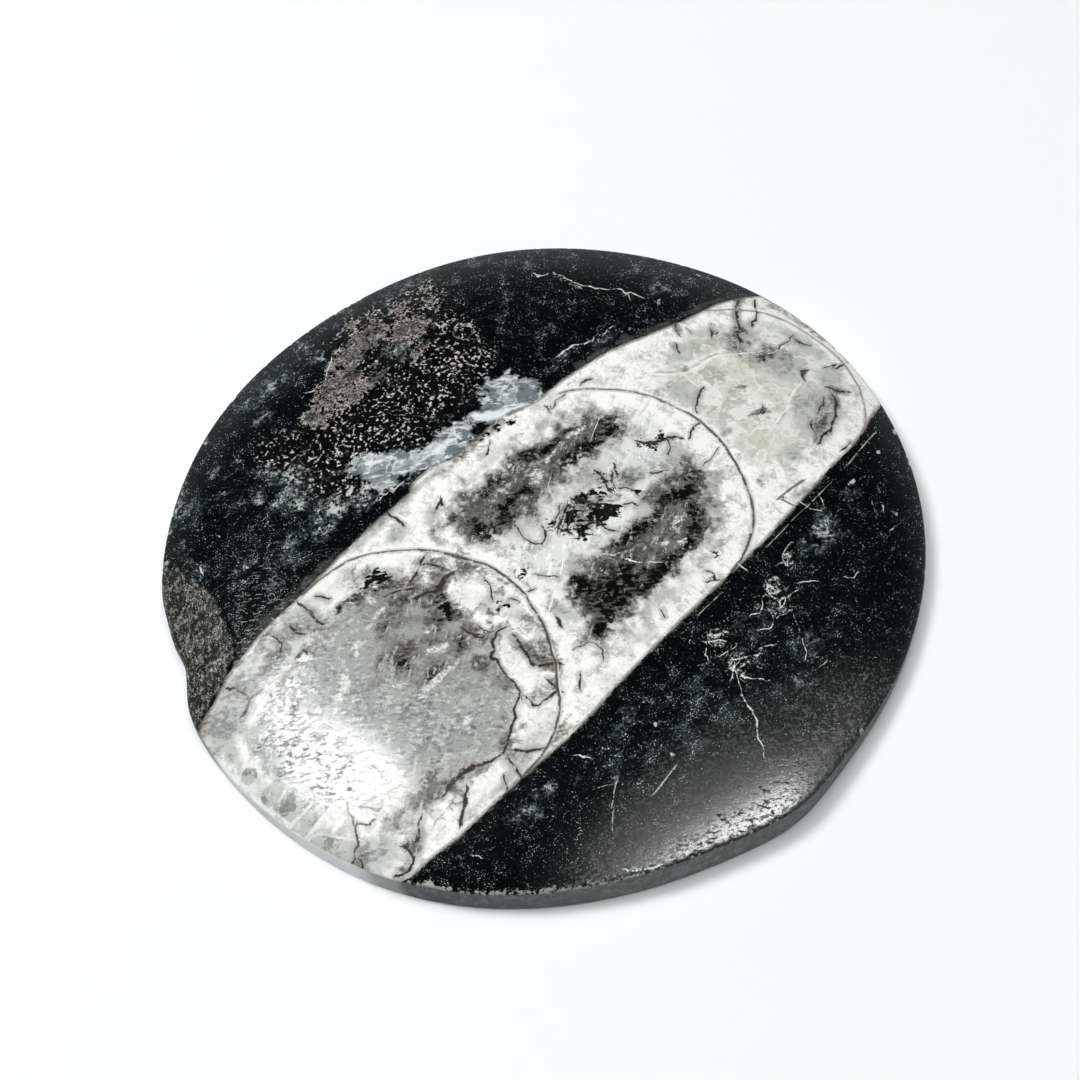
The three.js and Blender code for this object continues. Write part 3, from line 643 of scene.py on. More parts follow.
# Bright blocks and streaks of chalk-white calcite.
write_clouds("chalk", [
    (-24.4, 2.6, 2.6, 0.55, 30, 1.05), (-20.6, 4.4, 1.8, 0.5, 30, 1.3), (-17.6, 5.1, 1.8, 0.4, 2, 1.25),
    (-16.6, 6.4, 0.35, 0.7, 30, 1.1), (-25.4, 1.0, 2.2, 0.5, -28, 0.6), (-16.4, -1.4, 1.3, 0.4, -20, 1.0),
    (-16.1, 0.3, 0.4, 0.4, 0, 1.1), (-18.6, -3.4, 3.6, 0.35, -2, 1.15), (-26.8, 6.7, 1.6, 0.5, -30, 0.7),
    (-22, -0.9, 1.6, 0.3, -35, 0.7), (-24.6, 7.2, 1.0, 0.5, -40, 0.8), (23.6, -8.1, 1.2, 0.7, 0, 0.8),
    (-21.6, -5.0, 2.4, 0.25, -35, 0.35), (27.8, -12.3, 1.8, 0.7, 12, 0.9), (-11.6, 7, 1.3, 1.0, -40, 1.0),
    (-10.3, 0.3, 1.5, 1.7, 0, 1.3), (-0.2, 5.7, 0.3, 0.9, 0, 0.9), (2.1, 6.8, 0.4, 0.3, 0, 1.0),
    (3, 3.8, 1.2, 0.7, 10, 0.9), (5.8, 4.6, 2, 0.3, 15, 0.9), (9.5, 4.8, 1.6, 0.4, -8, 0.9),
    (16.5, -4, 0.5, 0.35, 0, 1.2), (5.2, -9.1, 1.1, 0.4, -20, 0.9), (6.7, -10.3, 0.6, 0.35, 0, 0.9),
    (7.6, -8.4, 1.7, 0.35, -5, 0.9), (-15.8, -13.2, 3, 1.1, 10, 0.85), (-13, -9, 0.9, 3, 0, 1.2),
    (-20, -8.5, 0.5, 0.4, 0, 0.9), (22.5, -1.2, 0.8, 0.6, 0, 0.9), (25.5, -4.2, 0.9, 0.6, 0, 0.9),
    (-28, -12.6, 3.4, 1.1, -15, 0.7), (-23, -13.6, 2.4, 0.9, -10, 0.85), (-17.5, 9.8, 1.6, 1.2, 0, 1.0),
    (-12.6, -7.6, 0.8, 1.6, 0, 1.2), (8.6, 0.2, 1.4, 0.9, 0, 0.8), (-1.2, -1.2, 1.2, 0.7, 30, 0.8),
    (-9, 3.6, 0.6, 1.2, 0, 0.9), (-9.8, -6, 0.7, 2, 10, 1.0), (23, -9, 1.6, 0.8, 0, 0.6),
])

# Round the shell: blue-grey calcite, a brown pitted patch with pale flecks, and faint smears.
write_patches("spar", [
    [(-8.6, 18.4), (-7.2, 18.2), (-5.5, 17.6), (-4.3, 17), (-3.4, 15.8), (-3, 14.8), (-2.2, 14),
     (-0.4, 13.9), (1.2, 13.7), (2.4, 13.6), (3.2, 13), (2.6, 11.8), (1.4, 11.2), (-0.6, 11.3),
     (-1.8, 12.2), (-3.2, 12.9), (-4.6, 13.4), (-6.2, 13.8), (-7.4, 14.2), (-8, 15.6), (-7.6, 16.8)],
    [(4, 13.4), (5.2, 13), (6.2, 13.9), (7.6, 14.3), (8.6, 14.9), (9.8, 14.2), (10.4, 12.8),
     (10.8, 11.4), (10.2, 10), (8.6, 10.2), (6.5, 10.8), (4.6, 11)],
])
write_patches("gleam", [
    [(4.1, 13.5), (4.7, 13.3), (5.2, 12.5), (6.6, 12), (7.4, 11.2), (8.6, 10.3), (7.4, 10.2),
     (6.4, 10.9), (5.2, 11.6), (4.3, 12)],
    [(-7.4, 17.6), (-6.6, 17.7), (-5.2, 17), (-4.4, 16.3), (-5.4, 16.6), (-6.4, 17.1)],
    [(-1.6, 13.6), (-0.2, 13.5), (0.4, 12.9), (-0.8, 12.8)],
])
# The brown patch, the pale flecks round it, and the parts of the black rock that are greyer.
bruise = write_clouds("bruise", [
    (-1.4, 25.8, 2.8, 1.9, 10, 1.0), (3.4, 27.8, 4.2, 1.7, 12, 1.1), (8.2, 25.6, 2.4, 1.6, 0, 1.0),
    (9.6, 28.4, 2.4, 1.2, -10, 0.5), (-5, 24.6, 1.6, 2, 30, 0.7), (12.8, 26.6, 1.4, 1.8, 20, 0.42),
    (0, 23.6, 4, 1.1, 0, 0.7), (7, 22.9, 2.4, 0.8, 0, 0.6), (5, 30.6, 2.4, 0.8, 8, 0.45),
    (13.6, 28.4, 1.2, 0.8, 30, 0.5),
])
write_clouds("fleck", [
    (-4, 20, 8, 3.4, 10, 1.0), (4, 20.5, 8, 3.2, 0, 1.0), (0, 17, 8, 2.4, 0, 0.8),
    (8, 17.5, 4, 2.4, 0, 0.8), (-10, 24.5, 3, 2.6, 30, 0.8), (-9, 17, 3, 2.4, 0, 0.6),
    (12, 27.8, 3.6, 2.2, 10, 1.0), (7, 30.4, 3, 1.6, 0, 0.8), (-14, 22, 2, 3, 20, 0.3),
    (2, 31, 5, 1.6, 0, 0.4), (11.5, 22.5, 1.6, 2.6, 0, 1.0), (0, 24.5, 6, 2, 10, 0.8),
    (-9.2, 16.2, 1.2, 1, 0, 0.8),
])
write_clouds("smoke", [
    (-8, -22, 7, 4.5, -10, 0.9), (-16, -19.5, 5, 2, -20, 0.7), (4, -24, 6, 4, 0, 0.7),
    (-14, 21, 4, 6, 0, 0.8), (-4, 32, 7, 2.6, 0, 0.9), (8, 32.5, 7, 2.4, -8, 0.9), (22, 25, 6, 4, -40, 0.8),
    (-20, 17, 5, 4, 0, 0.6), (31, 12, 3, 7, 10, 0.6), (17, 20, 4, 6, 0, 0.45), (16, -19, 4, 1.6, 10, 0.7),
    (-30, -15.5, 2, 1, 0, 0.3), (20, 10.2, 10, 0.8, -14, 0.7), (-20, 28, 4, 2, 40, 0.6),
])

# Grey smears and shattered calcite in the black rock.
write_clouds("smear", [
    (-12.4, 23, 0.9, 2.0, 10, 0.75), (-13, 18.9, 1.1, 1, 0, 0.75), (-15, 22.5, 1, 0.7, 0, 0.55),
    (-10.8, 20.4, 0.9, 1.4, 0, 0.8), (-9.4, 18.8, 1.2, 0.6, -30, 0.9), (-11.4, 15.9, 1.3, 1.2, 20, 0.85),
    (-9.4, 13.9, 1.4, 0.6, -10, 0.8), (-13.8, 20.8, 1.6, 0.7, 0, 0.55), (-12.4, 17, 1.4, 0.6, 0, 0.6),
    (-21.3, 18.5, 1, 0.8, 0, 0.4), (-22.7, 25, 1.2, 0.6, 30, 0.3), (-15.4, 28.7, 1.4, 0.7, 20, 0.3),
    (-16.5, 26, 1, 0.7, 0, 0.25), (-7.7, 29, 1.4, 0.8, 0, 0.35), (-9, 26.3, 1.2, 0.9, 0, 0.35),
    (-3.2, 13.6, 2.2, 1.1, 0, 0.7), (3, 12.6, 1.2, 1, 0, 0.5), (16.6, -18.8, 2.4, 1.2, 12, 0.6),
    (-19.7, -17.7, 1.1, 0.6, 0, 0.3), (-22.2, -18.7, 0.7, 0.4, 0, 0.4), (16, 26.5, 1.5, 0.6, 20, 0.3),
    (11.5, 24, 1.3, 1.3, 0, 0.4), (0.6, -28.6, 0.8, 0.5, 0, 0.4), (1, 30.2, 1, 1.1, 0, 0.7),
    (1.1, 32, 0.5, 2.0, -8, 0.6), (5.5, 31.8, 1, 0.6, 0, 0.4), (10.2, 30, 1, 0.9, 0, 0.35),
    (-13.5, -18, 0.8, 1.2, 30, 0.25), (3.5, -26.8, 0.9, 0.9, 0, 0.6), (6, -20.5, 3.5, 1.5, 0, 0.2),
    (-1, -24, 2, 3, 20, 0.15), (28.7, 11.3, 1.2, 1.2, 0, 0.35), (-11.5, 22, 1.4, 1.8, 20, 0.6),
    (-13.8, 15.4, 1.4, 1.2, 0, 0.5), (-17, 16.5, 2, 0.8, 10, 0.3), (-20, 15, 2, 1, 0, 0.35),
    (-19.5, 28, 1.6, 1.6, 30, 0.35), (-23.8, 22, 1, 2, 0, 0.3), (5.4, 24.6, 1.6, 1.5, 0, 0.75),
    (12.5, 31, 3, 1.6, -20, 0.35), (20, 28, 3, 2, -40, 0.25), (-5, 31.5, 3, 1.5, 0, 0.4),
    (-22, -17.6, 2, 1, 0, 0.35), (-15.4, -21.2, 1.4, 1, 0, 0.35), (-10.5, -18.5, 1.6, 1, 20, 0.3),
    (8, -25.5, 2, 1, 0, 0.25), (22, -18, 1.6, 1, 30, 0.35),
])
write_clouds("shatter", [
    (-8.8, 15.6, 1.4, 1.1, 20, 1.1), (-7, 13.2, 1.6, 0.5, 0, 1.1), (0.3, -22.6, 1.6, 1.2, 40, 0.75),
    (1, -19.2, 1.4, 1, 0, 0.7), (8, -19.6, 2.4, 1, 10, 0.8), (12.4, -18.4, 1.2, 0.6, 20, 0.7),
    (7.4, -21.4, 1.6, 0.6, 0, 0.7), (23.4, 18.5, 0.6, 2.6, -5, 0.6), (-20, -28.2, 1.6, 0.8, -45, 0.8),
    (-25.8, 11.6, 1, 0.3, 0, 0.4),
])

# Where the polish is worn: pocked, matted and scuffed. The first of these also sets where pits in the clear
# calcite are darkened in colour, as painted shade.
write_clouds("hammered_and_pit_shade", [
    (-28.6, 6.2, 2.8, 2.6, 20, 1.0), (-24.6, 7.2, 2.8, 1.1, 0, 0.8), (-31.5, 3, 3, 4, 0, 0.8),
    (-25, -0.6, 3, 1.4, 20, 0.7), (-19.5, -3.6, 5, 1, 0, 0.6), (-31, -3, 3, 3, 0, 0.5),
    (-16, 1, 3, 3, 0, 0.5), (-26, -8.8, 3, 1, -10, 0.6),
])
write_clouds("matted", [(-7, -30.5, 20, 6.5, -12, 1.0)])
write_clouds("scuffed", [
    (-31.5, 0.5, 4.2, 8, 0, 1.0), (-27, 7.6, 3.4, 2, 0, 0.9), (-9, -31.6, 13, 2.6, -14, 1.0),
    (-19, -28.6, 4, 2, -38, 0.8), (-33.5, -8, 2.4, 4, 20, 0.6), (-24, -2, 4, 8, 0, 0.4),
])

# White spots, and dark holes in and round the brown patch with a pale ring about two of them.
write_patches("spot", (), [
    (-18.4, 22.3, 0.3, 0.25), (-20.4, 22.4, 0.25, 0.2), (-14.7, 20.8, 0.25, 0.2), (-15.6, 24.8, 0.2, 0.2),
    (-11.9, 19.5, 0.25, 0.2), (-11.2, 17.4, 0.4, 0.25), (-10, 17, 0.35, 0.25), (-9.5, 16.2, 0.5, 0.3),
    (-8.4, 15, 0.3, 0.3), (10.2, 14.3, 0.3, 0.3), (11, 15, 0.25, 0.2), (10.4, 11.3, 0.3, 0.3),
    (22.3, 21, 0.3, 0.25), (27.1, 10.2, 0.25, 0.2), (21.3, 9.5, 0.25, 0.35), (22.2, 9.4, 0.25, 0.2),
    (33.4, 10.3, 0.25, 0.2), (33.6, 7.7, 0.25, 0.2), (0.4, 32, 0.3, 0.2), (5.6, 24.7, 0.3, 0.3),
    (23.4, -17, 0.3, 0.25), (24.7, -16.4, 0.3, 0.25), (22.5, -16.3, 0.2, 0.2), (28.5, -16.6, 0.25, 0.2),
    (29.8, -15.6, 0.25, 0.2), (31.9, -15.4, 0.25, 0.2), (26.8, -20.6, 0.2, 0.2), (24, -22, 0.2, 0.2),
    (20.3, -20.9, 0.2, 0.2), (28.8, -19.7, 0.2, 0.2), (-18.9, -20.2, 0.25, 0.2), (-10.3, -24, 0.3, 0.25),
    (-9.1, -20.9, 0.25, 0.25), (-13.2, -22.5, 0.25, 0.2), (-14.2, -18.9, 0.2, 0.2),
    (-13.2, -17.2, 0.2, 0.2),
])
write_lines("hole_ring", [
    (width, [(cx + size * cosd(a), cy + size * sind(a)) for a in range(0, 361, 30)])
    for width, cx, cy, size in [(0.22, 11.5, 24, 1.2), (0.2, 11.3, 21.2, 0.9)]
])
write_patches("hole", (), [
    (1.3, 25.8, 0.9, 0.5), (2.5, 24, 1.1, 1.0), (11, 25.4, 0.6, 0.5), (-5, 25.4, 0.6, 0.5),
    (5.2, 24.4, 1.4, 1.3), (-11, -30.4, 0.45, 0.14), (-6.7, -33.3, 0.5, 0.16), (8.4, 23, 0.5, 0.4),
])

# The scar on the left is a rough break the polish never reached.
SCAR_EDGE = [
    (-25.1, 26), (-24.6, 23.1), (-24.6, 20.8), (-25, 19.3), (-25.6, 17.3), (-26.4, 15.5), (-26.9, 14.5),
    (-27.6, 13.3), (-29.3, 12.3), (-31.8, 11.6), (-34.6, 10.9), (-40, 10), (-40, 30), (-28, 30),
]
scar = write_patches("scar", [SCAR_EDGE])

# ---------------------------------------------------------------------------
# Relief left by wear: a rough scar, pits in the brown patch and small chips
# knocked out of the rim.
# ---------------------------------------------------------------------------

# Each chip is (x, y, reach).
CHIPS = [
    (-32.6, -15.4, 0.75), (-31.6, -17, 0.3), (-30.3, -18.9, 0.25), (-29.2, -20.4, 0.35),
    (-25.3, -24.5, 0.3), (-24.2, -25.4, 0.4), (-22.6, -26.7, 0.35), (-21, -28.1, 0.7), (-20.1, -28.8, 0.5),
    (-19, -29.5, 0.6), (-24.6, 25.3, 0.4), (-22, 27.5, 0.3), (-12.8, 32.2, 0.3), (4.5, -33.7, 0.4),
    (-17.2, -30.3, 0.3), (-13.5, -31.9, 0.3), (-10.2, -33, 0.3), (-34.8, -10.2, 0.4), (36.1, -5.5, 0.3),
    (30.2, -18.8, 0.3),
]
# Small ones stand in clusters: where round the rim and how far to each side, how many, the biggest.
CLUSTERS = [(-140, 18, 34, 0.3), (-110, 13, 22, 0.17), (120, 50, 16, 0.22), (0, 180, 40, 0.18)]
CHIP_INSET = 0.1
CHIP_DEPTH = 0.11
CHIP_PULL = 0.14
SCAR_LIP = 0.4
SCAR_DROP = 0.12
DEEPEST_PIT = 0.14

dice = np.random.default_rng(11)
for at, spread, number, biggest in CLUSTERS:
    for _ in range(number):
        where = at + spread * dice.uniform(-1, 1)
        reach = biggest * dice.uniform(0.3, 1.0)
        out = rim_radius(where) - CHIP_INSET
        CHIPS.append((CROWN_AXIS[0] + out * cosd(where), CROWN_AXIS[1] + out * sind(where), reach))
chip = np.zeros(len(x))
for cx, cy, reach in CHIPS:
    near_chip = np.hypot(x - cx, y - cy) / reach
    chip = np.maximum(chip, np.clip(1.25 - near_chip, 0, 1))
chip = chip * (row_of <= 3)
rough = np.zeros(len(x))
wavy = np.clip(scar / SCAR_LIP, 0, 1)
pitted = np.clip(bruise * 1.6 - 0.4, 0, 1)
uneven = np.nonzero(((wavy > 0) | (pitted > 0) | (chip > 0)) & (row_of < WALL_ROWS + 2))[0]
for i in uneven:
    place = Vector((x[i], y[i], z[i]))
    broken = noise.noise(place * 0.55) * 0.16 + noise.noise(place * 1.6) * 0.09
    pits = -0.4 * max(0.0, noise.noise(place * 1.9) - 0.12)
    rough[i] = wavy[i] * (broken - SCAR_DROP) + pitted[i] * max(pits, -DEEPEST_PIT)
    rough[i] -= chip[i] * (CHIP_DEPTH + 0.1 * noise.noise(place * 2.3))
z = np.where(row_of <= 2, np.minimum(z + rough, CROWN_HEIGHT), z)
pulled = np.where(row_of > 0, chip * CHIP_PULL, 0.0)
x = x - pulled * cosd(turn)
y = y - pulled * sind(turn)
keep("broken", np.maximum(wavy, chip))
keep("polished", np.where(row_of <= 1, 1.0, 0.0))
keep("inward", np.clip(rim - np.hypot(x - CROWN_AXIS[0], y - CROWN_AXIS[1]), 0, FAR))
keep("frayed", np.maximum(swell(turn, -138, 17), 0.35 * swell(turn, 125, 50)))

stone.data.vertices.foreach_set("co", (np.stack([x, y, z], axis=1) * MM).ravel())
stone.data.update()
bpy.ops.object.mode_set(mode="EDIT")
bpy.ops.mesh.select_all(action="SELECT")
bpy.ops.mesh.normals_make_consistent(inside=False)
bpy.ops.object.mode_set(mode="OBJECT")
bpy.ops.object.shade_smooth_by_angle(angle=math.radians(40))

# ---------------------------------------------------------------------------
# The finish: calcite and limestone ground together and polished to one surface,
# with the wall and the scar left matt.
# ---------------------------------------------------------------------------


def tone(red, green, blue):
    """A colour in plain 0 to 255 steps, as the linear colour a shader takes."""
    parts = [c / 255 for c in (red, green, blue)]
    line = [c / 12.92 if c <= 0.04045 else ((c + 0.055) / 1.055) ** 2.4 for c in parts]
    return (line[0], line[1], line[2], 1.0)


class Wire:
    """One node's output. Arithmetic on it adds Math nodes."""

    def __init__(self, tree, socket=None):
        self.tree = tree
        self.socket = socket

    def plug(self, end, value):
        """Links a wire to an input, or sets the input to a plain value."""
        if isinstance(value, Wire):
            self.tree.links.new(value.socket, end)
        else:
            end.default_value = value

    def node(self, kind, settings=None, sockets=None, out=0):
        made = self.tree.nodes.new(kind)
        for name, value in (settings or {}).items():
            setattr(made, name, value)
        for name, value in (sockets or {}).items():
            self.plug(made.inputs[name], value)
        return Wire(self.tree, made.outputs[out] if made.outputs else None)

    def math(self, operation, *values):
        return self.node("ShaderNodeMath", {"operation": operation}, dict(enumerate(values)))

    def __add__(self, other):
        return self.math("ADD", self, other)

    def __radd__(self, other):
        return self.math("ADD", other, self)

    def __sub__(self, other):
        return self.math("SUBTRACT", self, other)

    def __rsub__(self, other):
        return self.math("SUBTRACT", other, self)

    def __mul__(self, other):
        return self.math("MULTIPLY", self, other)

    def __rmul__(self, other):
        return self.math("MULTIPLY", other, self)

    def __truediv__(self, other):
        return self.math("DIVIDE", self, other)

    def __rtruediv__(self, other):
        return self.math("DIVIDE", other, self)

    def __abs__(self):
        return self.math("ABSOLUTE", self)

    def most(self, other):
        return self.math("MAXIMUM", self, other)

    def step(self, low, high):
        """0 at low and 1 at high, eased between them. Low may be the larger one."""
        sockets = {"Value": self, "From Min": low, "From Max": high}
        return self.node("ShaderNodeMapRange", {"interpolation_type": "SMOOTHSTEP"}, sockets)

    def mix(self, other, share):
        """This colour with share of another laid over it."""
        return self.node("ShaderNodeMix", {"data_type": "RGBA"}, {0: share, 6: self, 7: other}, out=2)


finish = bpy.data.materials.new("polished_limestone_and_calcite")
finish.use_nodes = True
finish.node_tree.nodes.clear()
sheet = Wire(finish.node_tree)
place = sheet.node("ShaderNodeTexCoord", out="Object")
place = sheet.node("ShaderNodeVectorMath", {"operation": "SCALE"}, {0: place, "Scale": 1 / MM})


def field(name):
    """What was written on the mesh under a name."""
    return sheet.node("ShaderNodeAttribute", {"attribute_name": name}, out="Fac")


def grain(scale, detail=3.0, roughness=0.55, stretch=None, seed=0.0, lean=0.0):
    """Cloudy noise, its scale in features per mm, drawn out by stretch along lean and across it."""
    where = place
    if stretch or seed:
        sizes = {"Vector": place, "Scale": stretch or (1, 1, 1), "Location": (seed, seed * 0.7, 0)}
        sizes["Rotation"] = (0, 0, lean)
        where = sheet.node("ShaderNodeMapping", {"vector_type": "TEXTURE"}, sizes)
    sockets = {"Vector": where, "Scale": scale, "Detail": detail, "Roughness": roughness}
    return sheet.node("ShaderNodeTexNoise", None, sockets)


def crystals(scale, feature="F1", out="Distance"):
    """Crooked cells, their scale in cells per mm."""
    sockets = {"Vector": kinked, "Scale": scale}
    return sheet.node("ShaderNodeTexVoronoi", {"feature": feature}, sockets, out=out)


def grey_of(random_colour):
    """One random number from a crystal's random colour."""
    return sheet.node("ShaderNodeSeparateColor", None, {0: random_colour})


def laid(ground, *coats):
    """A colour with others laid over it in turn, each given as its tone and its share."""
    if isinstance(ground, tuple):
        ground = tone(*ground)
        ground = sheet.node("ShaderNodeMix", {"data_type": "RGBA"}, {0: 0.0, 6: ground, 7: ground}, out=2)
    for hue, share in coats:
        ground = ground.mix(tone(*hue) if isinstance(hue, tuple) else hue, share)
    return ground


# The place on the stone, pushed about by noise, so that crystals laid there are irregular.
PUSH = 1.6
bends = {"Vector": place, "Scale": 0.7, "Detail": 3.0}
push = sheet.node("ShaderNodeTexNoise", None, bends, out="Color")
push = sheet.node("ShaderNodeVectorMath", {"operation": "SUBTRACT"}, {0: push, 1: (0.5, 0.5, 0.5)})
push = sheet.node("ShaderNodeVectorMath", {"operation": "SCALE"}, {0: push, "Scale": PUSH})
kinked = sheet.node("ShaderNodeVectorMath", {"operation": "ADD"}, {0: place, 1: push})

# Noise and cells of every size that break up the marks. Those ending in off lie about 0, as do
# ragged, middling and flecked. The others lie about 0.5.
ragged = grain(0.9, 5.0, 0.66) - 0.5
middling = grain(0.55, 3.0, 0.55, seed=2.3) - 0.5
fine = grain(5.0, 3.0, 0.6)
fine_off = fine - 0.5
dust = grain(7.5, 2.0, 0.6, seed=3.1)
broad = grain(0.35, 4.0, 0.6)
broad_off = broad - 0.5
sharp = grain(3.2, 2.0, 0.5, seed=7.3)
sharp_off = sharp - 0.5
curl = abs(grain(1.3, 2.0, 0.5, seed=11.9) - 0.5)
twig = abs(grain(1.1, 3.0, 0.6, seed=5.7) - 0.5)
block = grey_of(crystals(0.75, out="Color"))
block_off = block - 0.5
seam = crystals(0.75, "DISTANCE_TO_EDGE")
chip_of = grey_of(crystals(1.9, out="Color"))
chip_off = chip_of - 0.5
fibre = grain(1.0, 3.0, 0.6, stretch=(0.32, 1.5, 1.0))
feather = grain(1.2, 4.0, 0.62, stretch=(1.6, 0.5, 1.0), lean=0.5)
flecked = grain(2.2, 3.0, 0.6, stretch=(1.3, 0.7, 1.0), lean=-0.75) - 0.5
dash = grain(1.9, 1.0, 0.5, stretch=(1.7, 0.55, 1.0), lean=-0.7, seed=1.7)
scratched = grain(2.6, 4.0, 0.65, stretch=(1.7, 0.5, 1.0), lean=-0.5)
dirt = middling * 1.5 + ragged * 0.9 + chip_off * 0.22 + fine_off * 0.35


# The marks written on the mesh, as shares from 0 to 1 that are broken up by that noise.
def line(name, thin=0.5, wander=0.5, keen=0.3):
    """1 on a drawn line, which wanders, swells and thins out along its length."""
    off = abs(field(name) + ragged * wander + fine_off * 0.2)
    half = field(name + "_wide") * thin * (0.3 + broad * 0.7 + ragged * 1.5 + fine_off * 0.8).most(0.1)
    here = 1 - (off / half).step(1 - keen, 1 + keen)
    return here * field(name + "_near").step(0.42, 0.12)


def patch(name, ragged_by=1.0, soft=0.15, grow=0.0):
    """1 inside a drawn patch, with a ragged edge."""
    return (field(name) + ragged * ragged_by + grow).step(-soft, soft)


def cloudy(name, gain=2.0):
    """A soft cloud, torn by dirt where it lies and nowhere else."""
    return field(name) * (1 + dirt * gain)


# Black limestone with pale grit, smears of grey and a brown pitted patch.
smoke = (field("smoke") * (1 + dirt)).step(0.05, 0.8)
speck = crystals(2.3)
grit = 1 - (speck / (grey_of(crystals(2.3, out="Color")) - 0.5).most(0.001)).step(0.35, 0.75)
grit = grit * (0.3 + ragged * 1.8 + middling * 1.8 + broad).step(0.65, 1.15)
smear = cloudy("smear", 2.4)
smear = smear * (1 + flecked * 3)
smear = smear * (0.4 + chip_of * 0.8 + (sharp - 0.4) * 1.6) * (0.4 + fine * 1.2)
splinter = crystals(1.7, "DISTANCE_TO_EDGE")
shards = (splinter.step(0.05, 0.015) * (fine + ragged * 0.5).step(0.48, 0.56)).most(flecked.step(0.05, 0.08))
shards = shards * cloudy("shatter", 2.4).step(0.38, 0.6)
strip = (field("strip_near") + dirt * 1.6 + fine_off * 0.8).step(0.2, -0.3)
in_fleck = (field("fleck") * (1 + ragged * 2.5)).step(0.25, 0.5)
squiggle = curl.step(0.065, 0.028) * (sharp * 0.6 + fine * 0.5 + middling * 0.3).step(0.565, 0.63)
lies = field("bruise").step(0.12, 0.4)
in_bruise = field("bruise") + (ragged * 1.9 + flecked * 1.3 + sharp_off * 1.5 + fine_off * 0.9) * lies - 0.02
brown = laid(
    (88, 84, 81),
    ((50, 48, 46), (fine * 0.7 + feather * 0.4 + flecked * 0.6 - 0.04).step(0.47, 0.6)),
    ((190, 183, 177), (dust * 0.6 + sharp * 0.4 + ragged * 0.5).step(0.535, 0.57) * 0.9),
    ((12, 13, 13), (sharp - ragged * 0.9 - flecked * 0.7).step(0.45, 0.4) * 0.94),
)
solid = in_bruise.step(0.46, 0.58)
rind = abs(in_bruise - 0.5).step(0.13, 0.03) * (0.4 + ragged + fine).step(0.8, 0.95)
sliver = grain(1.1, 5.0, 0.68, stretch=(1.7, 0.5, 1.0), lean=-0.65, seed=6.1)
facet = grey_of(crystals(0.55, out="Color"))
facet_off = facet - 0.5
facet_edge = crystals(0.55, "DISTANCE_TO_EDGE")
spar = laid(
    (112, 122, 125),
    ((178, 187, 189), (facet * 0.6 + sliver * 0.8 + dirt * 0.5).step(0.45, 0.95)),
    ((80, 92, 97), (dirt - block_off * 0.3 - sliver * 0.3 + 0.15).step(0.14, 0.32) * 0.75),
    ((232, 238, 239), (sliver + ragged * 0.3 + facet_off * 0.12).step(0.56, 0.62) * 0.8),
    ((78, 90, 95), (sliver - ragged * 0.3 + facet_off * 0.1).step(0.41, 0.36) * 0.7),
    ((226, 233, 234), (facet_edge + ragged * 0.25).step(0.07, 0.01) * middling.step(-0.06, 0.06) * 0.7),
    ((238, 243, 244), patch("gleam", 1.1, 0.2) * 0.9),
)
limestone = laid(
    (1, 6, 7),
    ((13, 25, 26), (broad * 0.6 + middling * 1.2 + 0.2).step(0.42, 0.68) * (0.1 + smoke * 0.6)),
    ((40, 55, 56), (dirt + broad_off * 0.6 + smoke * 0.08).step(0.18, 0.28) * (0.04 + smoke * 0.6)),
    ((60, 77, 77), (fine + ragged * 0.6 + smoke * 0.03).step(0.61, 0.66) * (0.08 + smoke * 0.6)),
    ((1, 3, 4), sharp.step(0.47, 0.37) * 0.85),
    # Grit and dust.
    ((160, 169, 168), grit * (0.2 + smoke * 0.6)),
    ((84, 95, 95), (dust + ragged * 0.5 + middling * 0.2).step(0.61, 0.65) * (0.03 + smoke * 0.45)),
    ((206, 212, 210), (dust + ragged * 0.4 + middling * 0.2).step(0.67, 0.7) * (0.55 + smoke * 0.4)),
    # Grey smears.
    ((38, 50, 52), smear.step(0.12, 0.18) * 0.85),
    ((86, 99, 99), smear.step(0.3, 0.36) * 0.8),
    ((150, 158, 156), smear.step(0.6, 0.66) * 0.8),
    ((2, 6, 7), (sharp + ragged * 0.7).step(0.47, 0.41) * smear.step(0.08, 0.2) * 0.88),
    ((200, 206, 204), (dust + smear * 0.2).step(0.7, 0.76) * 0.9),
    # Splinters of shattered calcite.
    ((212, 217, 216), shards * 0.9),
    # The dull strip along the shell.
    (laid((60, 64, 62), ((112, 115, 110), (fine + ragged * 0.5).step(0.5, 0.65))), strip * 0.75),
    # Pale flecks on black, and the squiggles among them.
    ((2, 3, 4), in_fleck * 0.94),
    ((48, 46, 46), (fine + ragged * 0.3).step(0.55, 0.66) * in_fleck * 0.6),
    ((212, 205, 202), squiggle * in_fleck * 0.95),
    # The brown patch, its rind and its holes.
    ((196, 184, 178), rind * 0.9),
    (brown, solid * 0.93),
    ((18, 22, 22), patch("hole", 2.0, 0.2) * (0.4 + fine + ragged).step(0.7, 1.0) * 0.85),
    # Blue-grey calcite, and white spots.
    (spar, (field("spar") + dirt * 2.0 + flecked * 1.2 + 0.2).step(-0.3, 0.3) * 0.95),
    ((168, 166, 160), line("hole_ring", 0.45, 1.2) * (0.4 + ragged * 2 + fine_off).step(0.3, 0.6) * 0.7),
    ((200, 206, 205), patch("spot", 1.6, 0.08, -0.14) * 0.9),
)

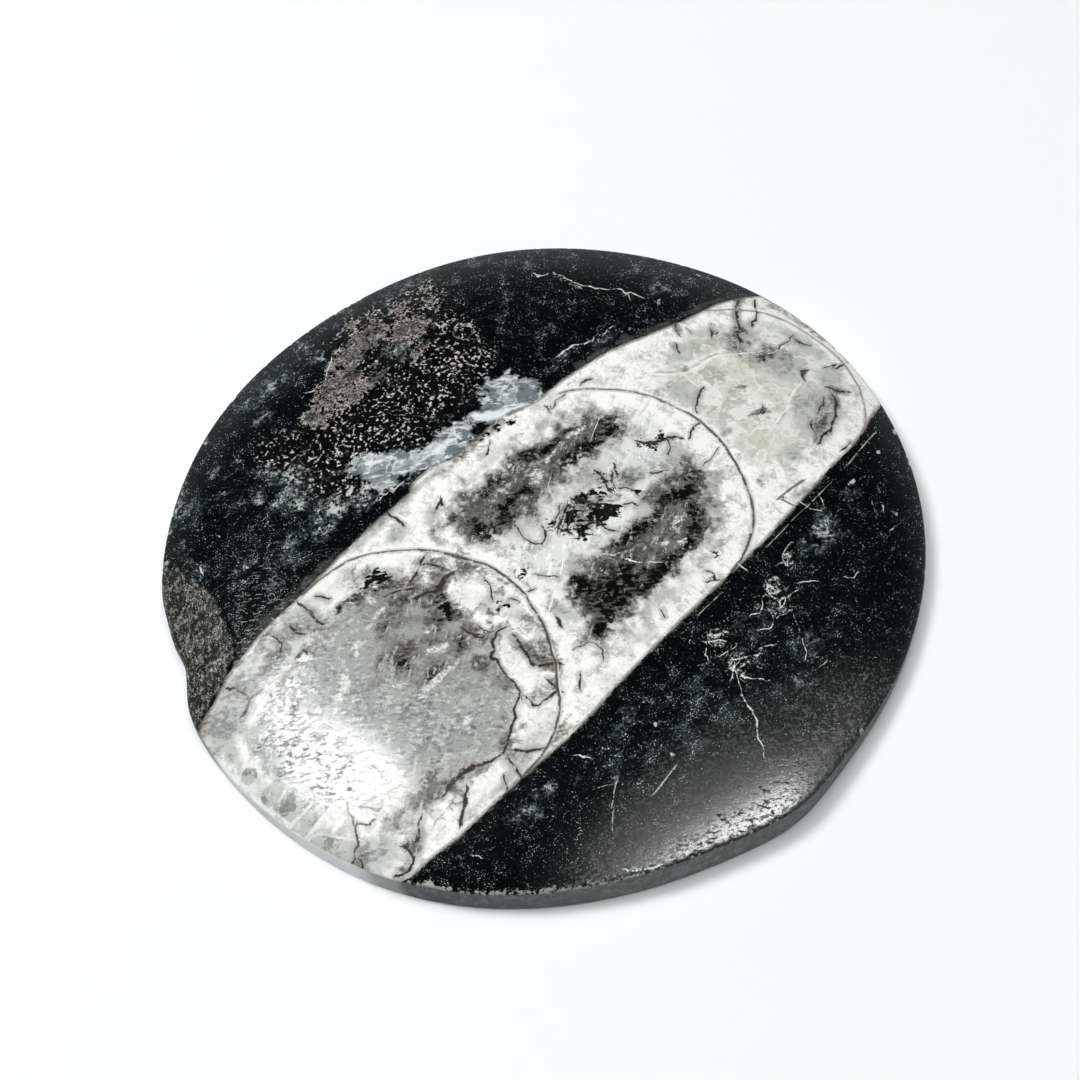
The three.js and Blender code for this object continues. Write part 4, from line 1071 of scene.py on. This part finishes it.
# White calcite of the fossil, in blocks and fibres of unlike clearness.
near_wall = abs(field("band")).step(4.2, 1.2)
hammered_and_pit_shade = field("hammered_and_pit_shade")
pits_and_pit_shade = (ragged * 0.6 - flecked + hammered_and_pit_shade * 0.05).step(0.06, 0.13)
second = laid(
    (222, 224, 221),
    ((180, 184, 183), (broad + dirt).step(0.42, 0.8)),
    ((136, 140, 138), (fine * 0.7 + ragged * 1.2 + middling * 0.4 + 0.15).step(0.56, 0.72) * 0.7),
    ((120, 123, 120), (flecked + ragged * 0.8 + middling * 0.3).step(0.12, 0.2) * 0.6),
    ((245, 246, 244), (feather + ragged * 0.5 + chip_off * 0.2).step(0.54, 0.64) * 0.9),
)
pale = laid(
    (208, 210, 198),
    ((178, 181, 165), (broad * 0.8 + dirt * 0.8 + 0.1).step(0.4, 0.74)),
    ((232, 234, 227), (facet + ragged * 0.5).step(0.62, 0.7) * 0.7),
    ((173, 176, 162), (facet + ragged * 0.5).step(0.3, 0.22) * 0.6),
    ((234, 236, 229), (block * 0.4 + dirt * 0.6 + feather - 0.3).step(0.42, 0.66) * 0.8),
    ((156, 159, 142), (fine * 0.7 + ragged * 1.2 + 0.15).step(0.57, 0.72) * 0.55),
    ((240, 242, 236), (sliver + ragged * 0.3).step(0.57, 0.62) * 0.6),
    ((150, 153, 136), (flecked + ragged * 0.8).step(0.12, 0.18) * 0.6),
)
deep_jade = laid((222, 224, 209), ((196, 199, 181), (facet * 0.4 + dirt + feather - 0.4).step(0.05, 0.4)))
haze = cloudy("haze", 2.0) * (1 + flecked * 2.5)
slate = field("slate") + 0.06 + ragged * 0.4
deep_slate = laid(
    (182, 185, 181),
    ((122, 125, 121), (dirt + feather - 0.45 + block_off * 0.5).step(0.0, 0.3)),
)
rust = cloudy("rust", 1.6) * (1 + flecked * 3.5)
gloom = cloudy("gloom", 1.6) * (1 + flecked * 3.4 + sharp_off * 1.0)
silt = field("mud") * 0.5 + dirt * 1.5
murk = cloudy("murk", 1.6) * (1 + flecked * 4.5 + chip_off * 0.6)
smudge = field("crack_near") + dirt * 0.9
olive = laid(
    (106, 105, 96),
    ((60, 59, 51), (chip_of * 0.4 + ragged * 1.4 + 0.3).step(0.35, 0.6)),
    ((176, 177, 168), (flecked * 0.8 + feather + ragged * 0.5).step(0.58, 0.66) * 0.75),
    ((40, 39, 33), (ragged * 0.8 - flecked).step(0.04, 0.14) * 0.85),
)
in_mud = silt.step(-0.3, 0.2)
cleaved = splinter.step(0.07, 0.015) * (0.5 + ragged * 2.0 + flecked).step(0.4, 0.65)
glints = (feather * 0.6 + dust * 0.4 + ragged * 0.6 - murk * 0.05).step(0.56, 0.63)
seamed = cloudy("seamed", 2.0)
torn = (0.5 + ragged * 1.6 + middling).step(0.35, 0.6)
twigs = twig.step(0.018, 0.005).most(curl.step(0.018, 0.006)) * cloudy("branch", 2.4).step(0.4, 0.75)
growths_and_pit_shade = field("soot_and_pit_shade") + ragged * 2.4 + flecked * 2.6 + fine_off * 0.8 - 0.06
ridge_crest_highlight = line("ridge", 0.3, 0.2, 0.4)
ridge_side_shade = (field("ridge") - 0.1).step(0.0, 0.15) * (field("ridge_near") + ragged * 0.5).step(0.45, 0.0)
seam_tone = laid((142, 126, 114), ((74, 63, 53), field("septum_wide").step(0.2, 0.28)))
on_seam = line("septum", 0.5, 0.42, 0.4) * (0.85 + ragged * 1.8 + fine_off * 0.7).step(0.4, 0.8)
glass = laid(
    (154, 157, 154),
    ((112, 117, 115), (broad + dirt * 0.9).step(0.42, 0.75)),
    ((190, 193, 190), (chip_of * 0.3 + dirt * 0.8 + feather - 0.3).step(0.38, 0.62) * 0.7),
    # Dark pits: painted shade for pits that lose the gloss.
    ((78, 81, 78), pits_and_pit_shade * (0.5 + hammered_and_pit_shade * 0.4)),
    ((218, 221, 218), (flecked + ragged * 0.7 + hammered_and_pit_shade * 0.03).step(0.07, 0.16) * (0.5 + hammered_and_pit_shade * 0.4)),
    ((236, 238, 235), (dust + ragged * 0.35).step(0.63, 0.7) * 0.6),
    # Dark dashes: painted shade for pits where the polish doesn't reflect the lamp.
    ((70, 70, 66), dash.step(0.66, 0.7) * hammered_and_pit_shade.step(0.2, 0.7) * 0.85),
)
calcite = laid(
    (248, 248, 243),
    ((226, 227, 222), (block * 0.3 + dirt * 0.9 + broad_off).step(0.08, 0.4) * 0.85),
    ((196, 198, 194), (dirt + broad_off * 0.9).step(0.12, 0.4) * 0.7),
    ((168, 171, 167), (flecked + middling * 0.8).step(0.12, 0.2) * 0.5),
    ((182, 182, 175), (fibre + ragged * 0.4).step(0.53, 0.68) * near_wall * 0.5),
    ((186, 187, 182), (fine + ragged * 0.9).step(0.52, 0.7) * 0.4),
    ((252, 252, 249), (feather + ragged * 0.4).step(0.55, 0.66) * 0.7),
    ((170, 169, 162), seam.step(0.05, 0.01) * middling.step(-0.02, 0.12) * 0.6),
    # What fills the first two chambers.
    (second, patch("clear_second", 3.4, 1.1) * 0.9),
    (glass, (field("clear_first") + ragged * 2.4 + flecked * 2.0 + middling * 1.5).step(-0.6, 0.6) * 0.96),
    # The greenish filling of the third.
    (pale, patch("clear_third", 3.2, 0.8) * 0.95),
    (deep_jade, patch("jade", 2.0, 0.5) * 0.6),
    ((172, 175, 162), patch("facet", 1.0, 0.2) * (0.6 + dirt * 1.5)),
    ((244, 245, 240),
     (facet_edge + ragged * 0.2).step(0.05, 0.01) * patch("clear_third", 1, 0.5)
     * middling.step(-0.1, 0.05) * 0.6),
    # Soft grey clouds.
    ((184, 187, 184), (field("haze") * (1 + dirt)).step(0.06, 0.4) * 0.85),
    ((136, 140, 138), haze.step(0.34, 0.8) * 0.85),
    ((76, 78, 74), haze.step(0.95, 1.35) * 0.85),
    # Grey facets at the wide end.
    ((222, 224, 219), abs(slate + 0.05).step(0.2, 0.05) * 0.4),
    (deep_slate, slate.step(-0.05, 0.1) * 0.9),
    ((214, 218, 215), (feather + flecked * 0.4).step(0.56, 0.64) * slate.step(0.0, 0.2) * 0.7),
    # Iron stains.
    ((140, 134, 119), rust.step(0.15, 0.7) * 0.75),
    ((78, 72, 59), rust.step(0.55, 1.2) * 0.85),
    # Dark depths.
    ((122, 122, 115), gloom.step(0.14, 0.42) * 0.8),
    ((82, 79, 71), gloom.step(0.42, 0.74) * 0.88),
    ((24, 23, 20), gloom.step(0.95, 1.3) * 0.96),
    ((196, 196, 188), (feather + ragged * 0.6).step(0.58, 0.63) * gloom.step(0.2, 0.5) * 0.7),
    # Stains beside the cracks, and the mud.
    ((140, 136, 127), smudge.step(0.34, 0.0) * 0.5),
    ((180, 181, 174), silt.step(-0.8, -0.2) * 0.85),
    (olive, silt.step(-0.35, 0.2) * 0.92),
    ((132, 133, 124), cleaved * in_mud * 0.5),
    ((76, 75, 66), murk.step(0.2, 0.5) * 0.8),
    ((36, 35, 30), murk.step(0.42, 0.7) * 0.92),
    ((8, 8, 7), murk.step(0.8, 1.15) * 0.97),
    ((190, 192, 184), glints * in_mud * 0.75),
    # Seams between the blocks.
    ((150, 149, 143), (seam + ragged * 0.2).step(0.2, 0.02) * seamed.step(0.2, 0.8) * torn * 0.6),
    ((98, 90, 78), seam.step(0.07, 0.012) * seamed.step(0.3, 0.8) * torn * 0.85),
    # Black growths and specks, some of them painted shade in pits, chalk, cracks and the painted highlight
    # beside the septa.
    ((36, 35, 30), twigs * 0.85),
    ((12, 12, 10), growths_and_pit_shade.step(-0.08, 0.08) * 0.99),
    ((232, 233, 229),
     (cloudy("chalk", 2.4) * (1 + flecked * 3)).step(0.35, 0.9)
     * (0.3 + (sharp * 0.6 + fine * 0.6).step(0.54, 0.66) * 0.6)),
    ((56, 50, 42), line("crack", 0.6, 0.6, 0.4) * (0.8 + ragged * 1.6 + fine_off * 0.6).step(0.4, 0.75)),
    ((248, 248, 244), line("septum_highlight", 0.5, 0.1) * (0.5 + ragged * 2).step(0.3, 0.7) * 0.8),
    ((150, 141, 127), (field("septum_near") + dirt * 0.4).step(0.18, -0.05) * 0.5),
    # Low ridges: painted shade above them and a painted highlight on their crests.
    ((146, 149, 136), ridge_side_shade * (0.5 + ragged * 2).step(0.2, 0.7) * 0.6),
    ((252, 252, 248), ridge_crest_highlight * (0.65 + ragged * 1.6).step(0.3, 0.8) * 0.75),
    # Shell lines and the notch.
    (seam_tone, on_seam * 0.92),
    ((70, 68, 64), line("notch", 0.8, 0.12, 0.4) * (0.8 + ragged * 1.4).step(0.3, 0.7) * 0.85),
)

# Both rocks in their places, with the veins that cut through both.
in_shell = (field("band") + ragged * 0.5 + fine_off * 0.3).step(-0.08, 0.08)
body = laid(limestone, (calcite, in_shell))
border = abs(field("band") - 0.05 + ragged * 0.6 + fine_off * 0.3).step(0.3, 0.06)
body = laid(body, ((86, 83, 75), border * (0.6 + ragged * 1.4).step(0.3, 0.7) * 0.75))
broken_up = (0.6 + ragged * 1.8 + fine_off * 1.4).step(0.38, 0.6)
vein_tone = laid((220, 224, 223), ((252, 252, 249), in_shell))
body = laid(
    body,
    (vein_tone, line("vein", 0.3, 0.4, 0.3) * broken_up * 0.95),
    ((196, 200, 198), line("hairline", 0.3, 0.12, 0.5) * broken_up * 0.8),
)

# The matt wall and the scar.
matt = laid(
    (78, 92, 89),
    ((110, 124, 121), grain(1.1, 4.0, 0.6).step(0.4, 0.7)),
    ((40, 45, 44), fine.step(0.54, 0.64) * 0.5),
    ((170, 178, 175), (field("band") + ragged).step(-0.4, 0.4) * 0.8),
    ((232, 238, 238), (field("band") + middling * 2).step(1.4, 4.0) * 0.85),
)
broken_grain = grain(3.0, 4.0, 0.7, stretch=(1.25, 0.75, 1.0), lean=0.9, seed=4.4)
scar_tone = laid(
    (32, 31, 27),
    ((122, 120, 111), (broken_grain + ragged * 0.5 + middling * 0.3).step(0.5, 0.6) * 0.95),
    ((2, 3, 2), (broken_grain * 0.5 + fine * 0.5 - ragged * 0.3).step(0.5, 0.45) * 0.97),
    ((204, 203, 192), (dust + ragged * 0.4 + broken_grain * 0.2).step(0.71, 0.76) * 0.75),
)
in_scar = (field("scar") + ragged * 1.2).step(-0.2, 0.3)
body = laid(body, (scar_tone, in_scar))
shine = field("polished").step(0.2, 0.8)
body = laid(matt, (body, shine))
chipped = (field("broken") + ragged * 0.9 + fine_off * 1.2).step(0.5, 0.7) * (1 - in_scar) * shine
body = laid(body, ((168, 169, 164), chipped * 0.85))
fray = (field("inward") + ragged * 1.2 + flecked * 1.4).step(0.42, 0.25)
fray = fray * (field("frayed") + ragged * 2.6 + sharp_off * 2).step(0.7, 0.95)
body = laid(body, ((158, 160, 155), fray * shine * 0.8))

# The polish, and what dulls and roughens it.
POLISH = 0.12
BUMP_DEPTH = 0.08 * MM
CALCITE_IOR = 1.6
unpolished = in_scar.most(1 - shine).most(chipped)
pitted_part = solid * 0.8
scuffed = cloudy("scuffed", 1.2).step(0.1, 0.9)
near_rim = field("inward").step(3.4, 1.0)
worn = scuffed * (pits_and_pit_shade * (0.12 + near_rim * 0.2 + hammered_and_pit_shade * 0.2) + dash.step(0.63, 0.67) * 0.55)
matted = field("matted").step(0.1, 0.6) * field("band").step(0.0, -0.8)
dull = POLISH + unpolished * 0.5 - in_scar * 0.37 + pitted_part * 0.22 + scuffed * 0.03 + worn
dull = dull + (fine + ragged * 0.4).step(0.55, 0.8) * 0.06
dull = dull + matted * (0.14 + (sharp * 0.5 + scratched * 0.5 + ragged * 0.5).step(0.47, 0.39) * 0.28)
pores = grain(1.9, 3.0, 0.6, stretch=(1.4, 0.6, 1.0), lean=-0.75).step(0.64, 0.56)
relief = pores * 0.1 + fine * (unpolished * 1.0 + pitted_part * 0.7 + 0.02) + broad * 0.05
relief = relief + (scratched + flecked * 0.8) * scuffed * (0.1 + near_rim * 0.3 + hammered_and_pit_shade * 0.25)
bump = sheet.node("ShaderNodeBump", None, {"Strength": 0.6, "Distance": BUMP_DEPTH, "Height": relief})
shader = sheet.node("ShaderNodeBsdfPrincipled", None, {
    "Base Color": body,
    "Roughness": dull,
    "IOR": CALCITE_IOR,
    "Normal": bump,
})
sheet.node("ShaderNodeOutputMaterial", None, {"Surface": shader})
stone.data.materials.append(finish)

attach(stone, "root")
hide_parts("fossil_stone")

# ---------------------------------------------------------------------------
# The table: one plain sheet, pale and matt, that the stone lies on. It is left out
# of reflections, so the polish doesn't show it.
# ---------------------------------------------------------------------------

TABLE_WIDTH = 8.0

bpy.ops.object.select_all(action="DESELECT")
bpy.ops.mesh.primitive_plane_add(size=TABLE_WIDTH, location=(0, 0, 0))
table = bpy.context.object
table.name = "table_top"
paper = bpy.data.materials.new("table_paper")
paper.use_nodes = True
paper_base = paper.node_tree.nodes["Principled BSDF"]
paper_base.inputs["Base Color"].default_value = tone(243, 245, 246)
paper_base.inputs["Roughness"].default_value = 0.7
paper_base.inputs["Specular IOR Level"].default_value = 0.1
table.data.materials.append(paper)
table.visible_glossy = False

# ---------------------------------------------------------------------------
# Light: a wide lamp overhead lights the matt surfaces and isn't reflected. A small
# one is reflected on the polished left end, and two show only as the gloss along the
# near rim. The room round them is nearly dark and faintly green.
# ---------------------------------------------------------------------------


def soft_box(name, start, towards, distance, size, power, seen_by, roll=0):
    """An oval lamp facing a spot on the stone, given in mm, from so many metres away."""
    lamp = bpy.data.lights.new(name, "AREA")
    lamp.shape = "ELLIPSE"
    lamp.size = size[0]
    lamp.size_y = size[1]
    lamp.energy = power
    made = bpy.data.objects.new(name, lamp)
    bpy.context.scene.collection.objects.link(made)
    heading = Vector(towards).normalized()
    made.location = Vector(start) * MM + heading * distance
    facing_stone = (-heading).to_track_quat("-Z", "Y")
    made.rotation_euler = (facing_stone @ Quaternion((0, 0, 1), math.radians(roll))).to_euler()
    made.visible_glossy = "gloss" in seen_by
    made.visible_diffuse = "diffuse" in seen_by


OVERHEAD_DISTANCE = 1.2
LAMP_DISTANCE = 0.6
soft_box("overhead", (0, 0, 0), (-0.1, 0.1, 1), OVERHEAD_DISTANCE, (1.4, 1.4), 13.0, "diffuse")
soft_box("left_end_light", (-30.5, -1.5, 6), (-0.207, 0.389, 0.893), LAMP_DISTANCE, (0.245, 0.155), 1.55,
         "diffuse and gloss", -54)
soft_box("near_rim_light", (-9, -32, 4), (0.13, -0.69, 0.72), LAMP_DISTANCE, (0.43, 0.2), 6.2, "gloss", -17)
soft_box("near_rim_glow", (-8, -28, 5), (0.15, -0.42, 0.9), LAMP_DISTANCE, (0.5, 0.46), 0.7, "gloss")

room = bpy.data.worlds.new("pale_room")
room.use_nodes = True
room.node_tree.nodes.clear()
sky = Wire(room.node_tree)
facing = sky.node("ShaderNodeTexCoord", out="Generated")
rise = sky.node("ShaderNodeSeparateXYZ", None, {0: facing}, out="Z")
brightness = 0.02 + rise.step(0.55, 0.05) * 0.25
back = sky.node("ShaderNodeBackground", None, {"Color": (0.86, 1, 1, 1), "Strength": brightness})
sky.node("ShaderNodeOutputWorld", None, {"Surface": back})
bpy.context.scene.world = room
bpy.context.scene.view_settings.view_transform = "Standard"

# ---------------------------------------------------------------------------
# Camera: a long lens on the stone's near right side, well above the table and
# looking down across the stone.
# ---------------------------------------------------------------------------

VIEW_TURN = -48.0
VIEW_RISE = 57.0
VIEW_DISTANCE = 280.0
AIM = (1.744, 2.541, 0.0)
LENS = 99.17
SENSOR = 36.0

backward = Vector((sind(VIEW_TURN) * cosd(VIEW_RISE), -cosd(VIEW_TURN) * cosd(VIEW_RISE), sind(VIEW_RISE)))
rightward = Vector((cosd(VIEW_TURN), sind(VIEW_TURN), 0))
upward = backward.cross(rightward)
eye = bpy.data.cameras.new("camera")
eye.lens = LENS
eye.sensor_width = SENSOR
eye.clip_start = 0.01
camera = bpy.data.objects.new("camera", eye)
bpy.context.scene.collection.objects.link(camera)
turned = Matrix((rightward, upward, backward)).transposed().to_4x4()
turned.translation = (Vector(AIM) + backward * VIEW_DISTANCE) * MM
camera.matrix_world = turned
bpy.context.scene.camera = camera
